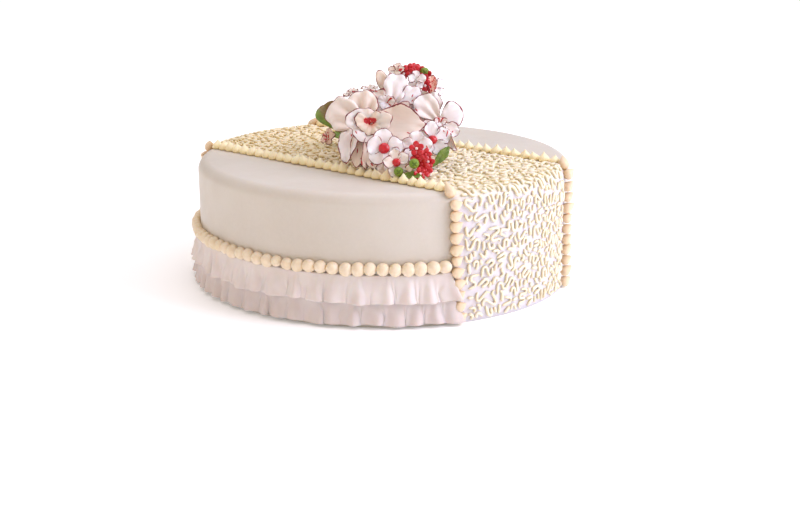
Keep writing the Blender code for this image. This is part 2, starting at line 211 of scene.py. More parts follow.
def finish_with(finish, tone, bumps, roughness=None):
    """Links the colour, the roughness and a chain of bumps, each a source and its depth in mm."""
    sockets = finish.node_tree.nodes["Principled BSDF"].inputs
    finish.node_tree.links.new(tone, sockets["Base Color"])
    if roughness is not None:
        finish.node_tree.links.new(roughness, sockets["Roughness"])
    values = {"Strength": 1.0}
    for source, depth in bumps:
        values.update({"Height": reading(finish, source), "Distance": depth * MM})
        values["Normal"] = add_node(finish, "Bump", values, "Normal")
    finish.node_tree.links.new(values["Normal"], sockets["Normal"])
    print("finish", finish.name, "has", len(finish.node_tree.nodes), "nodes")


print("helpers for finishes are ready")

# %% [markdown]
# ## Floor
# A plain white floor, as backing paper that runs on behind the cake. It glows more the further it
# is from the cake, so that the paper is white to its far edge and still takes a soft shadow.

# %% Floor
floor_shape = bmesh.new()
bmesh.ops.create_grid(floor_shape, x_segments=1, y_segments=1, size=6)
floor_data = bpy.data.meshes.new("floor")
floor_shape.to_mesh(floor_data)
floor_shape.free()
floor = bpy.data.objects.new("floor", floor_data)
bpy.context.scene.collection.objects.link(floor)
backing = bpy.data.materials.new("white_backing_paper")
backing.use_nodes = True
backing_shader = backing.node_tree.nodes["Principled BSDF"]
backing_shader.inputs["Base Color"].default_value = hex_colour("#FDFDFD")
backing_shader.inputs["Roughness"].default_value = 0.9
backing_shader.inputs["Emission Color"].default_value = hex_colour("#FFFFFF")
place = add_node(backing, "TexCoord", output="Object")
away = add_node(backing, "VectorMath", [place], "Value", operation="LENGTH")
glow = add_node(backing, "MapRange", (away, 0.35, 1.0, 0.2, 0.48))
backing.node_tree.links.new(glow, backing_shader.inputs["Emission Strength"])
floor_data.materials.append(backing)
print("floor is", floor.dimensions.x, "m wide")

# %% [markdown]
# ## Rolled sugar paste
# Fondant is sugar kneaded with fat, rolled out and polished by hand. It is satin, with faint
# hollows from the smoother, so its gloss comes and goes. Noise of 22 mm makes the hollows. The
# sugar's own grain is near 0.1 mm, too fine to show, so it is drawn at 0.9 mm. The covering under
# the lace is whiter and more lilac on the wall, partly a whiter paste and partly painted light from
# the right, and more golden on top, where its far part is more golden still, as painted shade of the
# spray. Coats tell the band from the panels. The frills are the same paste, rolled thinner and left
# matt, and greyer towards the foot, as painted shade.

# %% Rolled sugar paste, for the covering
covering = new_finish("rolled_sugar_paste", 0.42, 0.25, 2.5)
across = reading(covering, "X")
band_left, band_right = BORDER_X["left"][1], BORDER_X["right"][1]
from_left = add_node(covering, "MapRange", (across, band_left, band_left + 3 * MM))
to_right = add_node(covering, "MapRange", (across, band_right + 3 * MM, band_right))
on_band = add_node(covering, "Math", (from_left, to_right), operation="MULTIPLY")
# Painted shade of the spray: the far part of the top is more golden.
top_tone = coated(covering, "#EEE4C8", ("Y", -60 * MM, 30 * MM, "#E4D0A2"))
# Whiter and more lilac on the band's wall: partly a whiter paste, partly painted light from the
# right.
band_tone = coated(covering, "#E3DEE4", ("Z", HEIGHT - 7 * MM, HEIGHT, top_tone))
tone = coated(
    covering, "#D6CFC4",
    ((45, 2, 0), 0.3, 0.7, "#D0C8BC"),
    ((2.2, 3, 4), 0.35, 0.75, 0, 0.25, "#DDD5CB"),
    (on_band, band_tone),
)
polish = add_node(covering, "MapRange", (reading(covering, (14, 2, 9)), 0.35, 0.65, 0.36, 0.5))
finish_with(covering, tone, [((22, 1, 2), 0.5), ((0.9, 2, 7), 0.03)], polish)

# %% Rolled sugar paste, for the frills
frill_paste = new_finish("rolled_frill_paste", 0.5, 0.35, 2)
tone = coated(
    frill_paste, "#E9DFDC",
    ((18, 2, 0), 0.3, 0.7, "#E0D4CF"),
    # Painted shade: the lower frill is greyer towards the foot.
    ("Z", 20 * MM, 10 * MM, 0, 0.5, "#D2C4C0"),
)
finish_with(frill_paste, tone, [((5, 2, 3), 0.12), ((0.8, 2, 0), 0.03)])

# %% [markdown]
# ## Piped icing
# Royal icing is beaten, so it is cream-coloured and a little translucent. The mesh carries how far
# each point is lifted off the cake, and the colour follows that: deeper yellow low down, where two
# drops meet, is painted shade, and the shells on the wall are painted darker all over, as shade. The
# lace is whiter than the drops, as a thin line lets more light through; the sides of its lines are
# painted khaki shade, and it is yellower on the far part of the top, as painted shade of the spray.
# Noise of 1 to 2 mm makes the fine bumps of beaten sugar.

# %% Piped icing, for the borders' drops
piping = new_finish("piped_cream_icing", 0.4, 0.35, 2.0, (1.0, 0.8, 0.5))
tone = coated(
    piping, "#CFAC80",
    # Painted shade by lift: darkest at a shell's foot, deeper yellow at a kiss's foot, paler towards
    # the peaks.
    ("lift", -1.0, -0.5, "#EBD6BA"),
    ("lift", -0.3, -0.1, "#FFE6AC"),
    ("lift", 0.0, 0.7, "#FFF1CE"),
    ((6, 2, 1), 0.3, 0.75, 0, 0.35, "#F6E3BC"),
)
finish_with(piping, tone, [((1.6, 2, 6), 0.1)])

# %% Piped icing, for the lace
lace_icing = new_finish("piped_lace_icing", 0.4, 0.4, 1.6, (1.0, 0.8, 0.5))
far = add_node(lace_icing, "MapRange", (reading(lace_icing, "Y"), -60 * MM, 30 * MM))
high = add_node(lace_icing, "MapRange", (reading(lace_icing, "Z"), HEIGHT - 7 * MM, HEIGHT))
# Painted shade of the spray: the lace is more golden on the far part of the top.
spray_shade = add_node(lace_icing, "Math", (far, high), operation="MULTIPLY")
tone = coated(
    lace_icing, "#E1D4AC",
    (spray_shade, "#DCC896"),
    # Painted shade: khaki at the lines' feet, paler on their ridges.
    ("lift", 0.25, 0.9, "#F7EEDD"),
    (spray_shade, 0, 1, 0, 0.42, "#DCC890"),
    ((9, 2, 1), 0.4, 0.7, 0, 0.5, "#F1E4C6"),
)
finish_with(lace_icing, tone, [((1.2, 2, 6), 0.08)])

# %% [markdown]
# ## Pearl paste
# The pearls are rolled from paste between the palms. They are duller than the piped drops, and
# mottled where the paste dried and cracked, so their noise of 2 to 4 mm is stronger. Their foot is
# painted darker and more golden, as shade.

# %% Rolled paste, for the pearls
pearl_paste = new_finish("rolled_pearl_paste", 0.48, 0.3, 2, (1.0, 0.75, 0.4))
tone = coated(
    # Painted shade: darker and more golden at the foot.
    pearl_paste, "#E0C49A",
    ("lift", 0, 0.5, "#EFE0C8"),
    ((3.5, 3, 0), 0.4, 0.65, 0, 0.6, "#E4CFAA"),
)
finish_with(pearl_paste, tone, [((2.2, 3, 6), 0.45)])

# %% [markdown]
# ## Petal paste
# Flower paste dries matt and thin. Fine streaks run from each petal's base to its edge, where the
# veiner pressed it. The flush is dusted on near the throat, and the edge is painted dark red with a
# fine brush. The painted line is 0.4 to 0.6 mm wide, and a wobble of 5 mm makes it swell and fade.

# %% Petal paste, with painted edges
petal_paste = new_finish("painted_petal_paste", 0.5, 0.3, 1.6, (1.0, 0.6, 0.45))
grain = add_node(petal_paste, "Attribute", output="Vector", attribute_name="grain")
fine = {"Vector": grain, "Scale": 1 / 0.3, "Detail": 2.0, "W": 0.0}
streaks = add_node(petal_paste, "TexNoise", fine, noise_dimensions="4D")
dots = reading(petal_paste, (1.2, 2, 5))
blush = reading(petal_paste, "blush")
dabs = add_node(petal_paste, "Math", (dots, 1.8, blush), operation="MULTIPLY_ADD")
uneven = reading(petal_paste, (5, 2, 8))
wobble = add_node(petal_paste, "MapRange", (uneven, 0.3, 0.68, -0.62, 0.56))
from_edge = add_node(petal_paste, "Math", (reading(petal_paste, "rim"), wobble), operation="ADD")
paint = coated(petal_paste, "#5E131B", (dots, 0.3, 0.7, "#8C2530"))
tone = coated(
    petal_paste, "#F4F0F4",
    # Beige by tint and shade: partly the paste's own colour, partly painted shade.
    ("tint", "#E9D8C8"),
    (streaks, 0.35, 0.7, 0, 0.2, "#EEDDD0"),
    (blush, 0.05, 0.7, 0, 0.6, "#F0A488"),
    (dabs, 1.55, 1.72, "#C3202B"),
    (from_edge, 0.28, 0.62, 1, 0, paint),
)
finish_with(petal_paste, tone, [(streaks, 0.12), ((0.8, 2, 0), 0.03)])

# %% [markdown]
# ## Red icing and leaf paste
# The florets and the flowers' hearts are coloured right through and glazed, so they get a thin
# coat and little subsurface. The leaves are green paste, dusted unevenly with darker and browner
# greens, pale along the veins and painted red-brown along the edge.

# %% Red icing
red_icing = new_finish(
    "glossy_red_icing", 0.28, 0.15, 1, (1.0, 0.2, 0.1), IOR=1.47, Coat_Weight=0.3
)
tone = coated(red_icing, "#D21C28", ((2.5, 2, 0), 0.3, 0.7, "#B3101C"))
finish_with(red_icing, tone, [((1.2, 2, 3), 0.08)])

# %% Leaf paste
leaf_paste = new_finish("dusted_leaf_paste", 0.42, 0.12, 1, (0.6, 1.0, 0.2))
tone = coated(
    leaf_paste, "#779A2C",
    # Darker green: random on the leaves, painted shade in the buds' cuts.
    ("tint", "#3E5A20"),
    ((6, 2, 0), 0.35, 0.7, 0, 0.5, "#8A8A34"),
    ("vein", 0, 1, 0, 0.45, "#A9BE5A"),
    ("blush", "#84703A"),
    ("rim", 0.2, 0.7, 1, 0, "#7C2A22"),
)
finish_with(leaf_paste, tone, [("vein", -0.25), ((1.0, 2, 2), 0.08)])

# %% [markdown]
# ## How a piece is made
# A piece is gathered in one bmesh: shapes are made by operators, moved into place, and added to it.
# A shape that is used many times, such as a drop, is kept as a mesh and stamped, which is quick.

# %% Helpers for meshes
def new_piece(shape, name, finish, nodes, thickness=0.0):
    """The gathered shape as a smooth piece that rides on the cake and stands for CAD nodes."""
    data = bpy.data.meshes.new(name)
    shape.to_mesh(data)
    shape.free()
    data.shade_smooth()
    data.materials.append(finish)
    piece = bpy.data.objects.new(name, data)
    bpy.context.scene.collection.objects.link(piece)
    if thickness:
        rolled = piece.modifiers.new("rolled", "SOLIDIFY")
        rolled.thickness = thickness
        rolled.offset = 0
    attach(piece, "root")
    if nodes:
        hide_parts(*nodes)
    print("piece", name, len(data.polygons), "faces")
    return piece


# %% Turning and stamping
def turned(profile, steps):
    """A profile of (radius, height) pairs, turned once about Z."""
    shape = bmesh.new()
    points = [shape.verts.new((across, 0, up)) for across, up in profile]
    lines = [shape.edges.new(pair) for pair in zip(points, points[1:])]
    bmesh.ops.spin(
        shape, geom=points + lines, cent=(0, 0, 0), axis=(0, 0, 1), angle=math.tau,
        steps=steps, use_merge=True,
    )
    bmesh.ops.remove_doubles(shape, verts=shape.verts, dist=1e-7)
    bmesh.ops.recalc_face_normals(shape, faces=shape.faces)
    return shape


def as_stamp(shape, name):
    """Keeps a small shape as a mesh, to be added many times."""
    stamp = bpy.data.meshes.new(name)
    shape.to_mesh(stamp)
    shape.free()
    return stamp


def add_stamp(target, stamp, matrix):
    """Adds a copy of a kept shape to a piece, in its place. Returns its vertices."""
    before = len(target.verts)
    target.from_mesh(stamp)
    target.verts.ensure_lookup_table()
    added = target.verts[before:]
    bmesh.ops.transform(target, matrix=matrix, verts=added)
    return added


def smooth(value, low=0.0, high=1.0):
    """Rises smoothly from 0 at low to 1 at high."""
    share = min(1, max(0, (value - low) / (high - low)))
    return share * share * (3 - 2 * share)


print("helpers for meshes are ready")

# %% [markdown]
# ## The covered cake
# Sugar paste laid over a cake follows it with a soft rounded edge. The shape is a profile turned
# about Z, as on a lathe. The hands leave hollows up to 0.4 mm deep and 34 mm apart, and wider ones
# of 75 mm, so each point is pushed in by noise and the gloss isn't perfectly even.

# %% The covered cake
TOP_ROWS, WALL_ROWS, EDGE_ROWS = 16, 12, 8
profile = [((RADIUS - EDGE) * row / TOP_ROWS, HEIGHT) for row in range(TOP_ROWS)]
for row in range(EDGE_ROWS + 1):
    turn = math.pi / 2 * row / EDGE_ROWS
    profile.append((RADIUS - EDGE * (1 - math.sin(turn)), HEIGHT - EDGE * (1 - math.cos(turn))))
for row in range(1, WALL_ROWS + 1):
    profile.append((RADIUS, (HEIGHT - EDGE) * (1 - row / WALL_ROWS)))
profile.append((0, 0))
cake = turned(profile, 192)
for vert in cake.verts:
    if vert.co.z < 1 * MM:  # the flat foot stays flat
        continue
    hollow = 0.5 + 0.5 * noise.noise(vert.co / (34 * MM))
    dent = 0.5 + 0.5 * noise.noise(vert.co / (75 * MM) + Vector((5, 1, 3)))
    depth = (0.35 * hollow + 0.5 * dent) * MM
    outward = Vector((vert.co.x, vert.co.y, 0)) / RADIUS
    outward.z = smooth(vert.co.z, HEIGHT - 10 * MM, HEIGHT)
    vert.co -= outward.normalized() * depth
new_piece(cake, "covered_cake", covering, ["cake"])

# %% [markdown]
# ## Where the borders run
# The two borders climb the wall, cross the top and go down again at the back. Their lines lean and
# bow a little, because they were piped by hand, so each is worked out point by point.

# %% The borders' lines
def skin(x, rise):
    """A point on the front of the cake, and outwards there. The rise is 0 to 1 up the wall, and 1
    to 2 over the rounded edge."""
    turn = math.pi / 2 * max(0, rise - 1)
    reach = RADIUS - EDGE * (1 - math.cos(turn))
    y = -math.sqrt(reach**2 - x**2)
    up = (HEIGHT - EDGE) * min(1, rise) + EDGE * math.sin(turn)
    outward = Vector((x, y, 0)).normalized() * math.cos(turn) + Vector((0, 0, math.sin(turn)))
    return Vector((x, y, up)), outward


def border_x(side, rise):
    """A border's place across the band, as it climbs the wall and the rounded edge."""
    foot, head, top = BORDER_X[side]
    if rise < 1:
        return foot + (head - foot) * math.sin(math.pi / 2 * rise)
    return head + (top - head) * (rise - 1)


def border_line(side):
    """Points and outward directions up the front wall, round the edge and to the top's middle."""
    line = [skin(border_x(side, step / 14), step / 14) for step in range(29)]
    line.append((Vector((border_x(side, 2), 0, HEIGHT)), Vector((0, 0, 1))))
    return line


print("a border is", len(border_line("left")), "points from its foot to the middle of the top")

# %% Following a line
def mirrored_in_y(line):
    """The same line on the far side of the cake."""
    flip = Vector((1, -1, 1))
    return [(point * flip, outward * flip) for point, outward in line]


def line_length(line):
    """The length of a line of (point, outward) pairs."""
    return sum((b[0] - a[0]).length for a, b in zip(line, line[1:]))


def along_line(line, distance):
    """The point, the direction of travel and the outward direction at a distance along a line."""
    for (start, out_a), (end, out_b) in zip(line, line[1:]):
        step = (end - start).length
        if distance <= step:
            share = distance / step
            return (
                start.lerp(end, share), (end - start).normalized(),
                out_a.lerp(out_b, share).normalized(),
            )
        distance -= step
    (before, _), (last, outward) = line[-2:]
    return last, (last - before).normalized(), outward


fronts = {side: border_line(side) for side in BORDER_X}
print("each border climbs", round(line_length(fronts["left"][:-1]), 4), "m of wall and edge")

# %% [markdown]
# ## Piped drops
# A round nozzle held still leaves a drop, and lifting it away pulls the drop into a peak. On top of
# the cake the peaks stand up. On the wall the nozzle is drawn aside, so each drop has a tail. One
# drop is turned from a profile, and each copy gets its own size, turn and lean. The drops are
# coarse, with 10 to 14 sides, and a subdivision surface rounds them.

# %% Drops
KISS = (
    (0, 0), (0.9, 0.02), (1.0, 0.18), (0.92, 0.4), (0.68, 0.58), (0.4, 0.73), (0.17, 0.88),
    (0.06, 1.0), (0, 1.04),
)
TEAR = (
    (0, -0.8), (0.5, -0.7), (0.88, -0.35), (1.0, 0.05), (0.92, 0.42), (0.72, 0.78), (0.48, 1.12),
    (0.28, 1.4), (0.12, 1.62), (0, 1.72),
)
BALL = (
    (0, 0), (0.8, 0.02), (1.0, 0.28), (0.98, 0.52), (0.8, 0.78), (0.5, 0.93), (0.2, 1.0), (0, 1.0),
)
kiss = as_stamp(turned(KISS, 10), "kiss")
ball = as_stamp(turned(BALL, 14), "ball")
tear = as_stamp(turned(TEAR, 10), "tear")
print("drops:", [(stamp.name, len(stamp.polygons), "faces") for stamp in (kiss, ball, tear)])

# %% Placing a drop
def facing(at, outward, upward):
    """Places a shape that stands on +Z at a point, standing outwards, with its +Y upwards."""
    across = upward.cross(outward).normalized()
    up = outward.cross(across)
    turn = Matrix((across, up, outward)).transposed().to_4x4()
    return Matrix.Translation(at) @ turn


def add_drop(target, stamp, at, outward, along, width, height, lean, rng):
    """One drop, with its peak pulled by lean, a sideways vector in the drop's own frame."""
    lift = target.verts.layers.float["lift"]
    sizes = Vector((width, width * rng.uniform(0.94, 1.06), height)) * rng.uniform(0.95, 1.05)
    added = add_stamp(target, stamp, Matrix.Diagonal((*sizes, 1)))
    turn = facing(at, outward, along)
    for vert in added:
        share = vert.co.z / sizes.z
        vert[lift] = share
        vert.co.x += lean.x * share**2
        vert.co.y += lean.y * share**2
        vert.co = turn @ vert.co


def new_icing():
    """An empty bmesh that carries how far each point stands off the cake, for its colour."""
    shape = bmesh.new()
    shape.verts.layers.float.new("lift")
    return shape


def finer(piece):
    """Rounds a piece of coarse drops."""
    rounded = piece.modifiers.new("rounded", "SUBSURF")
    rounded.levels = rounded.render_levels = 1


print("a drop is stamped, stretched and leaned")

# %% [markdown]
# ## The borders on top
# A row of kisses, 9 mm across and 6 to 7 mm tall, covers each edge of the lace. They are piped at
# an even pitch by eye, so each is out of place by up to a third of a millimetre. A loop walks along
# the border's line and stamps one kiss at each step, which an array could not lean one by one.

# %% The borders on top
def add_top_border(side, pitch):
    """A row of kisses across the top, from edge to edge."""
    rng = random.Random(11 if side == "left" else 12)
    front = fronts[side]
    climb = line_length(front[:-1])
    whole = front + mirrored_in_y(front)[::-1][1:]
    start, end = climb - 2 * MM, line_length(whole) - climb + 2 * MM  # just over the rounded edge
    count = round((end - start) / pitch)
    shape = new_icing()
    for index in range(count):
        place = start + (end - start) * (index + 0.5) / count + rng.uniform(-0.35, 0.35) * MM
        at, along, outward = along_line(whole, place)
        at = at + along.cross(outward) * rng.uniform(-0.4, 0.4) * MM - outward * 0.4 * MM
        lean = Vector((rng.uniform(-1.4, 1.4), rng.uniform(-1.2, 2.0), 0)) * MM
        height = rng.uniform(6.0, 7.2) * MM
        add_drop(shape, kiss, at, outward, along, 4.5 * MM, height, lean, rng)
    nodes = [f"border_{side}_top"]
    finer(new_piece(shape, f"kisses_{side}", piping, nodes))


add_top_border("left", 7.4 * MM)
add_top_border("right", 8.2 * MM)

# %% [markdown]
# ## The borders on the wall
# Down the wall the same icing is piped as shells. On the left each shell's tail is drawn aside
# towards the lace, and on the right it stands up and out. A shell is one long drop laid on its
# side. Its colour is painted shade: darker than a kiss's all over, and deepest where it touches the
# cake, between it and its neighbours.

# %% The borders on the wall
SHELLS = 12


def add_wall_border(side, end):
    """A row of shells up the wall. The last one, over the rounded edge, points up."""
    rng = random.Random(len(side) * 10 + len(end))
    line = fronts[side][:-1]
    if end == "back":
        line = mirrored_in_y(line)
    first, last = 4.4 * MM, line_length(line) - 6.5 * MM
    shape = new_icing()
    lift = shape.verts.layers.float["lift"]
    for index in range(SHELLS):
        place = first + (last - first) * index / (SHELLS - 1) + rng.uniform(-0.4, 0.4) * MM
        at, along, outward = along_line(line, place)
        size = rng.uniform(3.9, 4.3) * MM
        long = size * (1.2 if index == SHELLS - 1 else rng.uniform(0.8, 0.98))
        tail = Vector((0.9, rng.uniform(0.35, 0.75), rng.uniform(0.3, 0.55)))
        if side == "right":
            tail = Vector((rng.uniform(-0.1, 0.35), rng.uniform(0.5, 0.9), 0.75))
        if index == SHELLS - 1:
            tail = Vector((0.25, 1, 0.4))
        turn = tail.to_track_quat("Z", "Y").to_matrix().to_4x4()
        aside = Matrix.Translation((-1.2 * tail.x * MM, 0, 1.7 * MM))
        place = facing(at, outward, along) @ aside @ turn @ Matrix.Diagonal((size, size, long, 1))
        for vert in add_stamp(shape, tear, place):
            # A negative lift paints shade: darkest at the shell's foot.
            vert[lift] = 0.6 * min(1, (vert.co - at).dot(outward) / (5.2 * MM)) - 1.0
    nodes = [f"border_{side}_{end}"]
    finer(new_piece(shape, f"shells_{side}_{end}", piping, nodes))


for side in BORDER_X:
    for end in ("front", "back"):
        add_wall_border(side, end)

# %% [markdown]
# ## The row of pearls
# Pearls of 8 to 9 mm are rolled one by one and stuck side by side round the panel, over the top of
# the frills. They run from the left border's front to its back. Each is a stamp of one round drop
# with its own size and place, as no two rolled pearls are alike.

# %% The row of pearls
PEARL_HEIGHT = 39 * MM
PEARL_PITCH = 8 * MM


def panel_half(up, gap):
    """Half the angle of the left panel at a height, less a gap to the border's line at each end."""
    x = border_x("left", up / (HEIGHT - EDGE))
    return math.acos(abs(x) / RADIUS) - gap / RADIUS


rng = random.Random(21)
half = panel_half(PEARL_HEIGHT, 4.5 * MM)
count = round(2 * half * RADIUS / PEARL_PITCH)
shape = new_icing()
for index in range(count):
    turn = math.pi - half + 2 * half * (index + 0.5) / count + rng.uniform(-0.3, 0.3) * MM / RADIUS
    outward = Vector((math.cos(turn), math.sin(turn), 0))
    at = outward * (RADIUS - 0.8 * MM) + Vector((0, 0, PEARL_HEIGHT + rng.uniform(-0.5, 0.5) * MM))
    lean = Vector((rng.uniform(-0.5, 0.5), rng.uniform(-0.5, 0.5), 0)) * MM
    size = rng.uniform(4.2, 4.9) * MM
    add_drop(shape, ball, at, outward, Vector((0, 0, 1)), size, 6.8 * MM, lean, rng)
finer(new_piece(shape, "pearl_row", pearl_paste, ["pearls"]))
print(count, "pearls")

# %% [markdown]
# ## Piped lace
# Cornelli lace is one thin line of icing that wanders without crossing itself. Here it is broken
# into short squiggles. Each is grown a little at a time: it bends one way and then the other, and
# stops where it would touch what is already piped. Growing them keeps the gaps as even as a hand
# does, which copies of one squiggle would not.

# %% Growing the squiggles
STEP = 0.72  # how far a line grows at a time, in mm
OWN_GAP = 2.15  # how close a line may come to its own older part, in mm


def strokes(rng, hand, longest):
    """The legs and tight turns of one squiggle, each as a length and how sharply it bends."""
    for _ in range(rng.choice((1, 2, 2, 3, 3, 4, 5))):  # the number of turns
        yield longest * rng.uniform(0.25, 1), 0.1 * rng.uniform(-1, 1)
        radius = rng.uniform(1.35, 1.9)
        yield radius * rng.uniform(2.2, 3.3), hand / radius
        hand = -hand if rng.random() < 0.9 else hand
    yield longest * rng.uniform(0.25, 1), 0.12 * rng.uniform(-1, 1)


print("a line grows", STEP, "mm at a time")

# %% Lines that keep clear of each other
def squiggles(rng, low, high, inside, gap, tries, slants, longest, long_first=0):
    """Short wandering lines of points in mm that keep this gap from each other. Their legs start
    along one of the slants, and their turns lie close together, as in the letters m, w and s. The
    first tries keep only long ones. Points are looked up by square cells as wide as the gap."""
    cells = {}
    lines = []

    def crowded(x, y, own):
        """Whether a point is too near a piped line or this line's own older part."""
        column, row = math.floor(x / gap), math.floor(y / gap)
        for i in (-1, 0, 1):
            for j in (-1, 0, 1):
                for a, b in cells.get((column + i, row + j), ()):
                    if (a - x) ** 2 + (b - y) ** 2 < gap * gap:
                        return True
        spray_shade = own[: -round(3.8 / STEP)]
        return any((a - x) ** 2 + (b - y) ** 2 < OWN_GAP**2 for a, b in spray_shade)

    for attempt in range(tries):
        x, y = rng.uniform(low[0], high[0]), rng.uniform(low[1], high[1])
        if not inside(x, y) or crowded(x, y, []):
            continue
        heading = rng.choice(slants) + rng.uniform(-0.35, 0.35)
        line = [(x, y)]
        for length, bend in strokes(rng, rng.choice((-1, 1)), longest):
            for _ in range(round(length / STEP)):
                heading += bend * STEP
                x, y = x + STEP * math.cos(heading), y + STEP * math.sin(heading)
                if not inside(x, y) or crowded(x, y, line):
                    break
                line.append((x, y))
            else:
                continue
            break
        if len(line) * STEP < (12 if attempt < long_first else 3.6):
            continue
        lines.append(line)
        for a, b in line:
            cells.setdefault((math.floor(a / gap), math.floor(b / gap)), []).append((a, b))
    return lines


print("lines keep", OWN_GAP, "mm from their own older part")

# %% [markdown]
# ## Piping along a line
# A curve with a round bevel is Blender's own piping bag: it gives a line of points a body 2 mm
# thick, with closed ends. The pressure of the hand changes along the line, so it starts a little
# thick, thins, and ends in a short tail. The finished line knows how far it stands off the cake.

# %% Piping along a line
PIPE = 1.0  # half the piped line's width, in mm


def piped_lines(name, lines):
    """Round piped lines along lists of (point, thickness), as a closed mesh. The curve is only a
    tool, so it is removed."""
    curve = bpy.data.curves.new(name, "CURVE")
    curve.dimensions = "3D"
    curve.bevel_depth = PIPE * MM
    curve.bevel_resolution = 1
    curve.use_fill_caps = True
    for line in lines:
        spline = curve.splines.new("POLY")
        spline.points.add(len(line) - 1)
        for point, (at, thickness) in zip(spline.points, line):
            point.co = (*at, 1)
            point.radius = thickness
    holder = bpy.data.objects.new(name, curve)
    bpy.context.scene.collection.objects.link(holder)
    graph = bpy.context.evaluated_depsgraph_get()
    made = bpy.data.meshes.new_from_object(holder.evaluated_get(graph))
    bpy.data.objects.remove(holder)
    return made


print("a piped line is", 2 * PIPE, "mm thick")

# %% One area of lace
def height_off_cake(point):
    """How far a point is off the covered cake, in mm, also over its rounded edge."""
    out, up = point.xy.length - RADIUS + EDGE, point.z - HEIGHT + EDGE
    return (math.hypot(max(out, 0), max(up, 0)) - EDGE) / MM


def add_lace(name, node, lines, place):
    """The squiggles of one area, laid on the cake by place, as one piece."""
    rng = random.Random(len(lines))
    laid = []
    for line in lines:
        thick = rng.uniform(0.88, 1.12)
        run = []
        for index, (a, b) in enumerate(line):
            at, outward = place(a * MM, b * MM)
            share = index / (len(line) - 1)
            ends = 1.12 - 0.1 * share - 0.45 * smooth(share, 0.86, 1) - 0.35 * smooth(share, 0.1, 0)
            wavy = 1 + 0.1 * noise.noise(Vector((a, b, 3)) / 2)
            run.append((at + outward * 0.5 * PIPE * MM, thick * ends * wavy))  # half sunk in
        (first, wide), (last, thin) = run[0], run[-1]
        run.insert(0, (first + (first - run[1][0]) * 0.45, wide * 0.5))
        run.append((last + (last - run[-2][0]) * 0.45, thin * 0.5))
        laid.append(run)
    made = piped_lines(name, laid)
    shape = new_icing()
    shape.from_mesh(made)
    lift = shape.verts.layers.float["lift"]
    for vert in shape.verts:
        vert[lift] = 0.6 * height_off_cake(vert.co)
    print(len(lines), "squiggles,", round(sum(map(len, lines)) * STEP / 1000, 2), "m of line")
    new_piece(shape, name, lace_icing, [node])


off = height_off_cake(Vector((RADIUS + MM, 0, 0)))
print("a point 1 mm out of the wall is", round(off, 2), "mm off the cake")

# %% [markdown]
# ## Lace on the wall
# The squiggles are grown flat, as on the unrolled wall, and then laid on it. They climb over the
# rounded edge, and most of them start upright, as a hand pipes on a wall.

# %% Lace on the wall and over its edge
WALL = (HEIGHT - EDGE) / MM  # the straight wall, in mm
AROUND = EDGE / MM * math.pi / 2  # the way round the edge, in mm
CLEAR = 5.2  # from a border's line to the lace, in mm


def wall_rise(up):
    """A height in mm along the wall and the edge, as the rise that skin() takes."""
    return up / WALL if up < WALL else 1 + (up - WALL) / AROUND


def on_wall(across, up):
    """Whether a point of the unrolled wall lies between the borders."""
    x = math.sin(across / RADIUS * MM) * RADIUS / MM
    rise = wall_rise(up)
    return (
        1.8 < up < WALL + AROUND
        and border_x("left", rise) / MM + CLEAR < x < border_x("right", rise) / MM - CLEAR
    )


def placed_on_wall(flip):
    """Lays an unrolled point on the front of the wall, or with a flip of -1 on its back."""
    def place(across, up):
        at, outward = skin(math.sin(across / RADIUS) * RADIUS, wall_rise(up / MM))
        turn = Vector((1, flip, 1))
        return at * turn, outward * turn

    return place


UPRIGHT = (math.pi / 2, -math.pi / 2, 1.3, -1.3, 0.2)
for end, flip, seed in (("front", 1, 31), ("back", -1, 32)):
    lines = squiggles(
        random.Random(seed), (-70, 0), (55, WALL + AROUND), on_wall, gap=2.2, tries=16000,
        slants=UPRIGHT, longest=6.2,
    )
    add_lace(f"lace_on_{end}", f"lace_{end}", lines, placed_on_wall(flip))

# %% [markdown]
# ## Lace on top
# On top the hand turns freely, so the squiggles start along six slants. They lie between the two
# rows of kisses and stop at the rounded edge, where the lace of the wall takes over. Long ones are
# grown first, and short ones then fill the gaps.

# %% Lace on top
def on_top(x, y):
    """Whether a point of the flat top lies between the borders."""
    reach = math.sqrt((RADIUS - EDGE) ** 2 / MM**2 - x**2)
    return (
        abs(y) < reach - 0.4
        and BORDER_X["left"][2] / MM + CLEAR < x < BORDER_X["right"][2] / MM - CLEAR
    )


def placed_on_top(x, y):
    """A point on the flat top, and outwards there."""
    return Vector((x, y, HEIGHT)), Vector((0, 0, 1))


ALL_WAYS = (0.4, 1.6, 2.8, -0.4, -1.6, -2.8)
lines = squiggles(
    random.Random(33), (-66, -125), (52, 125), on_top, gap=2.3, tries=30000, slants=ALL_WAYS,
    longest=5, long_first=12000,
)
add_lace("lace_on_top", "lace_top", lines, placed_on_top)

# %% [markdown]
# ## Frills
# A strip of thin paste is frilled along one edge with a stick, which stretches it into waves, and
# then stuck to the wall by its other edge. So the folds start small under the pearls, and widen and
# flare towards the hem. The wave is a cosine whose phase, depth and lean change from fold to fold.
# It is worked out rather than simulated, because sugar paste sets in the shape it was given.

# %% Frills
MOST_OUT = 141.3 * MM  # no fold stands further from the cake's middle than this
FOOT_GAP = 0.9 * MM  # and no hem hangs lower


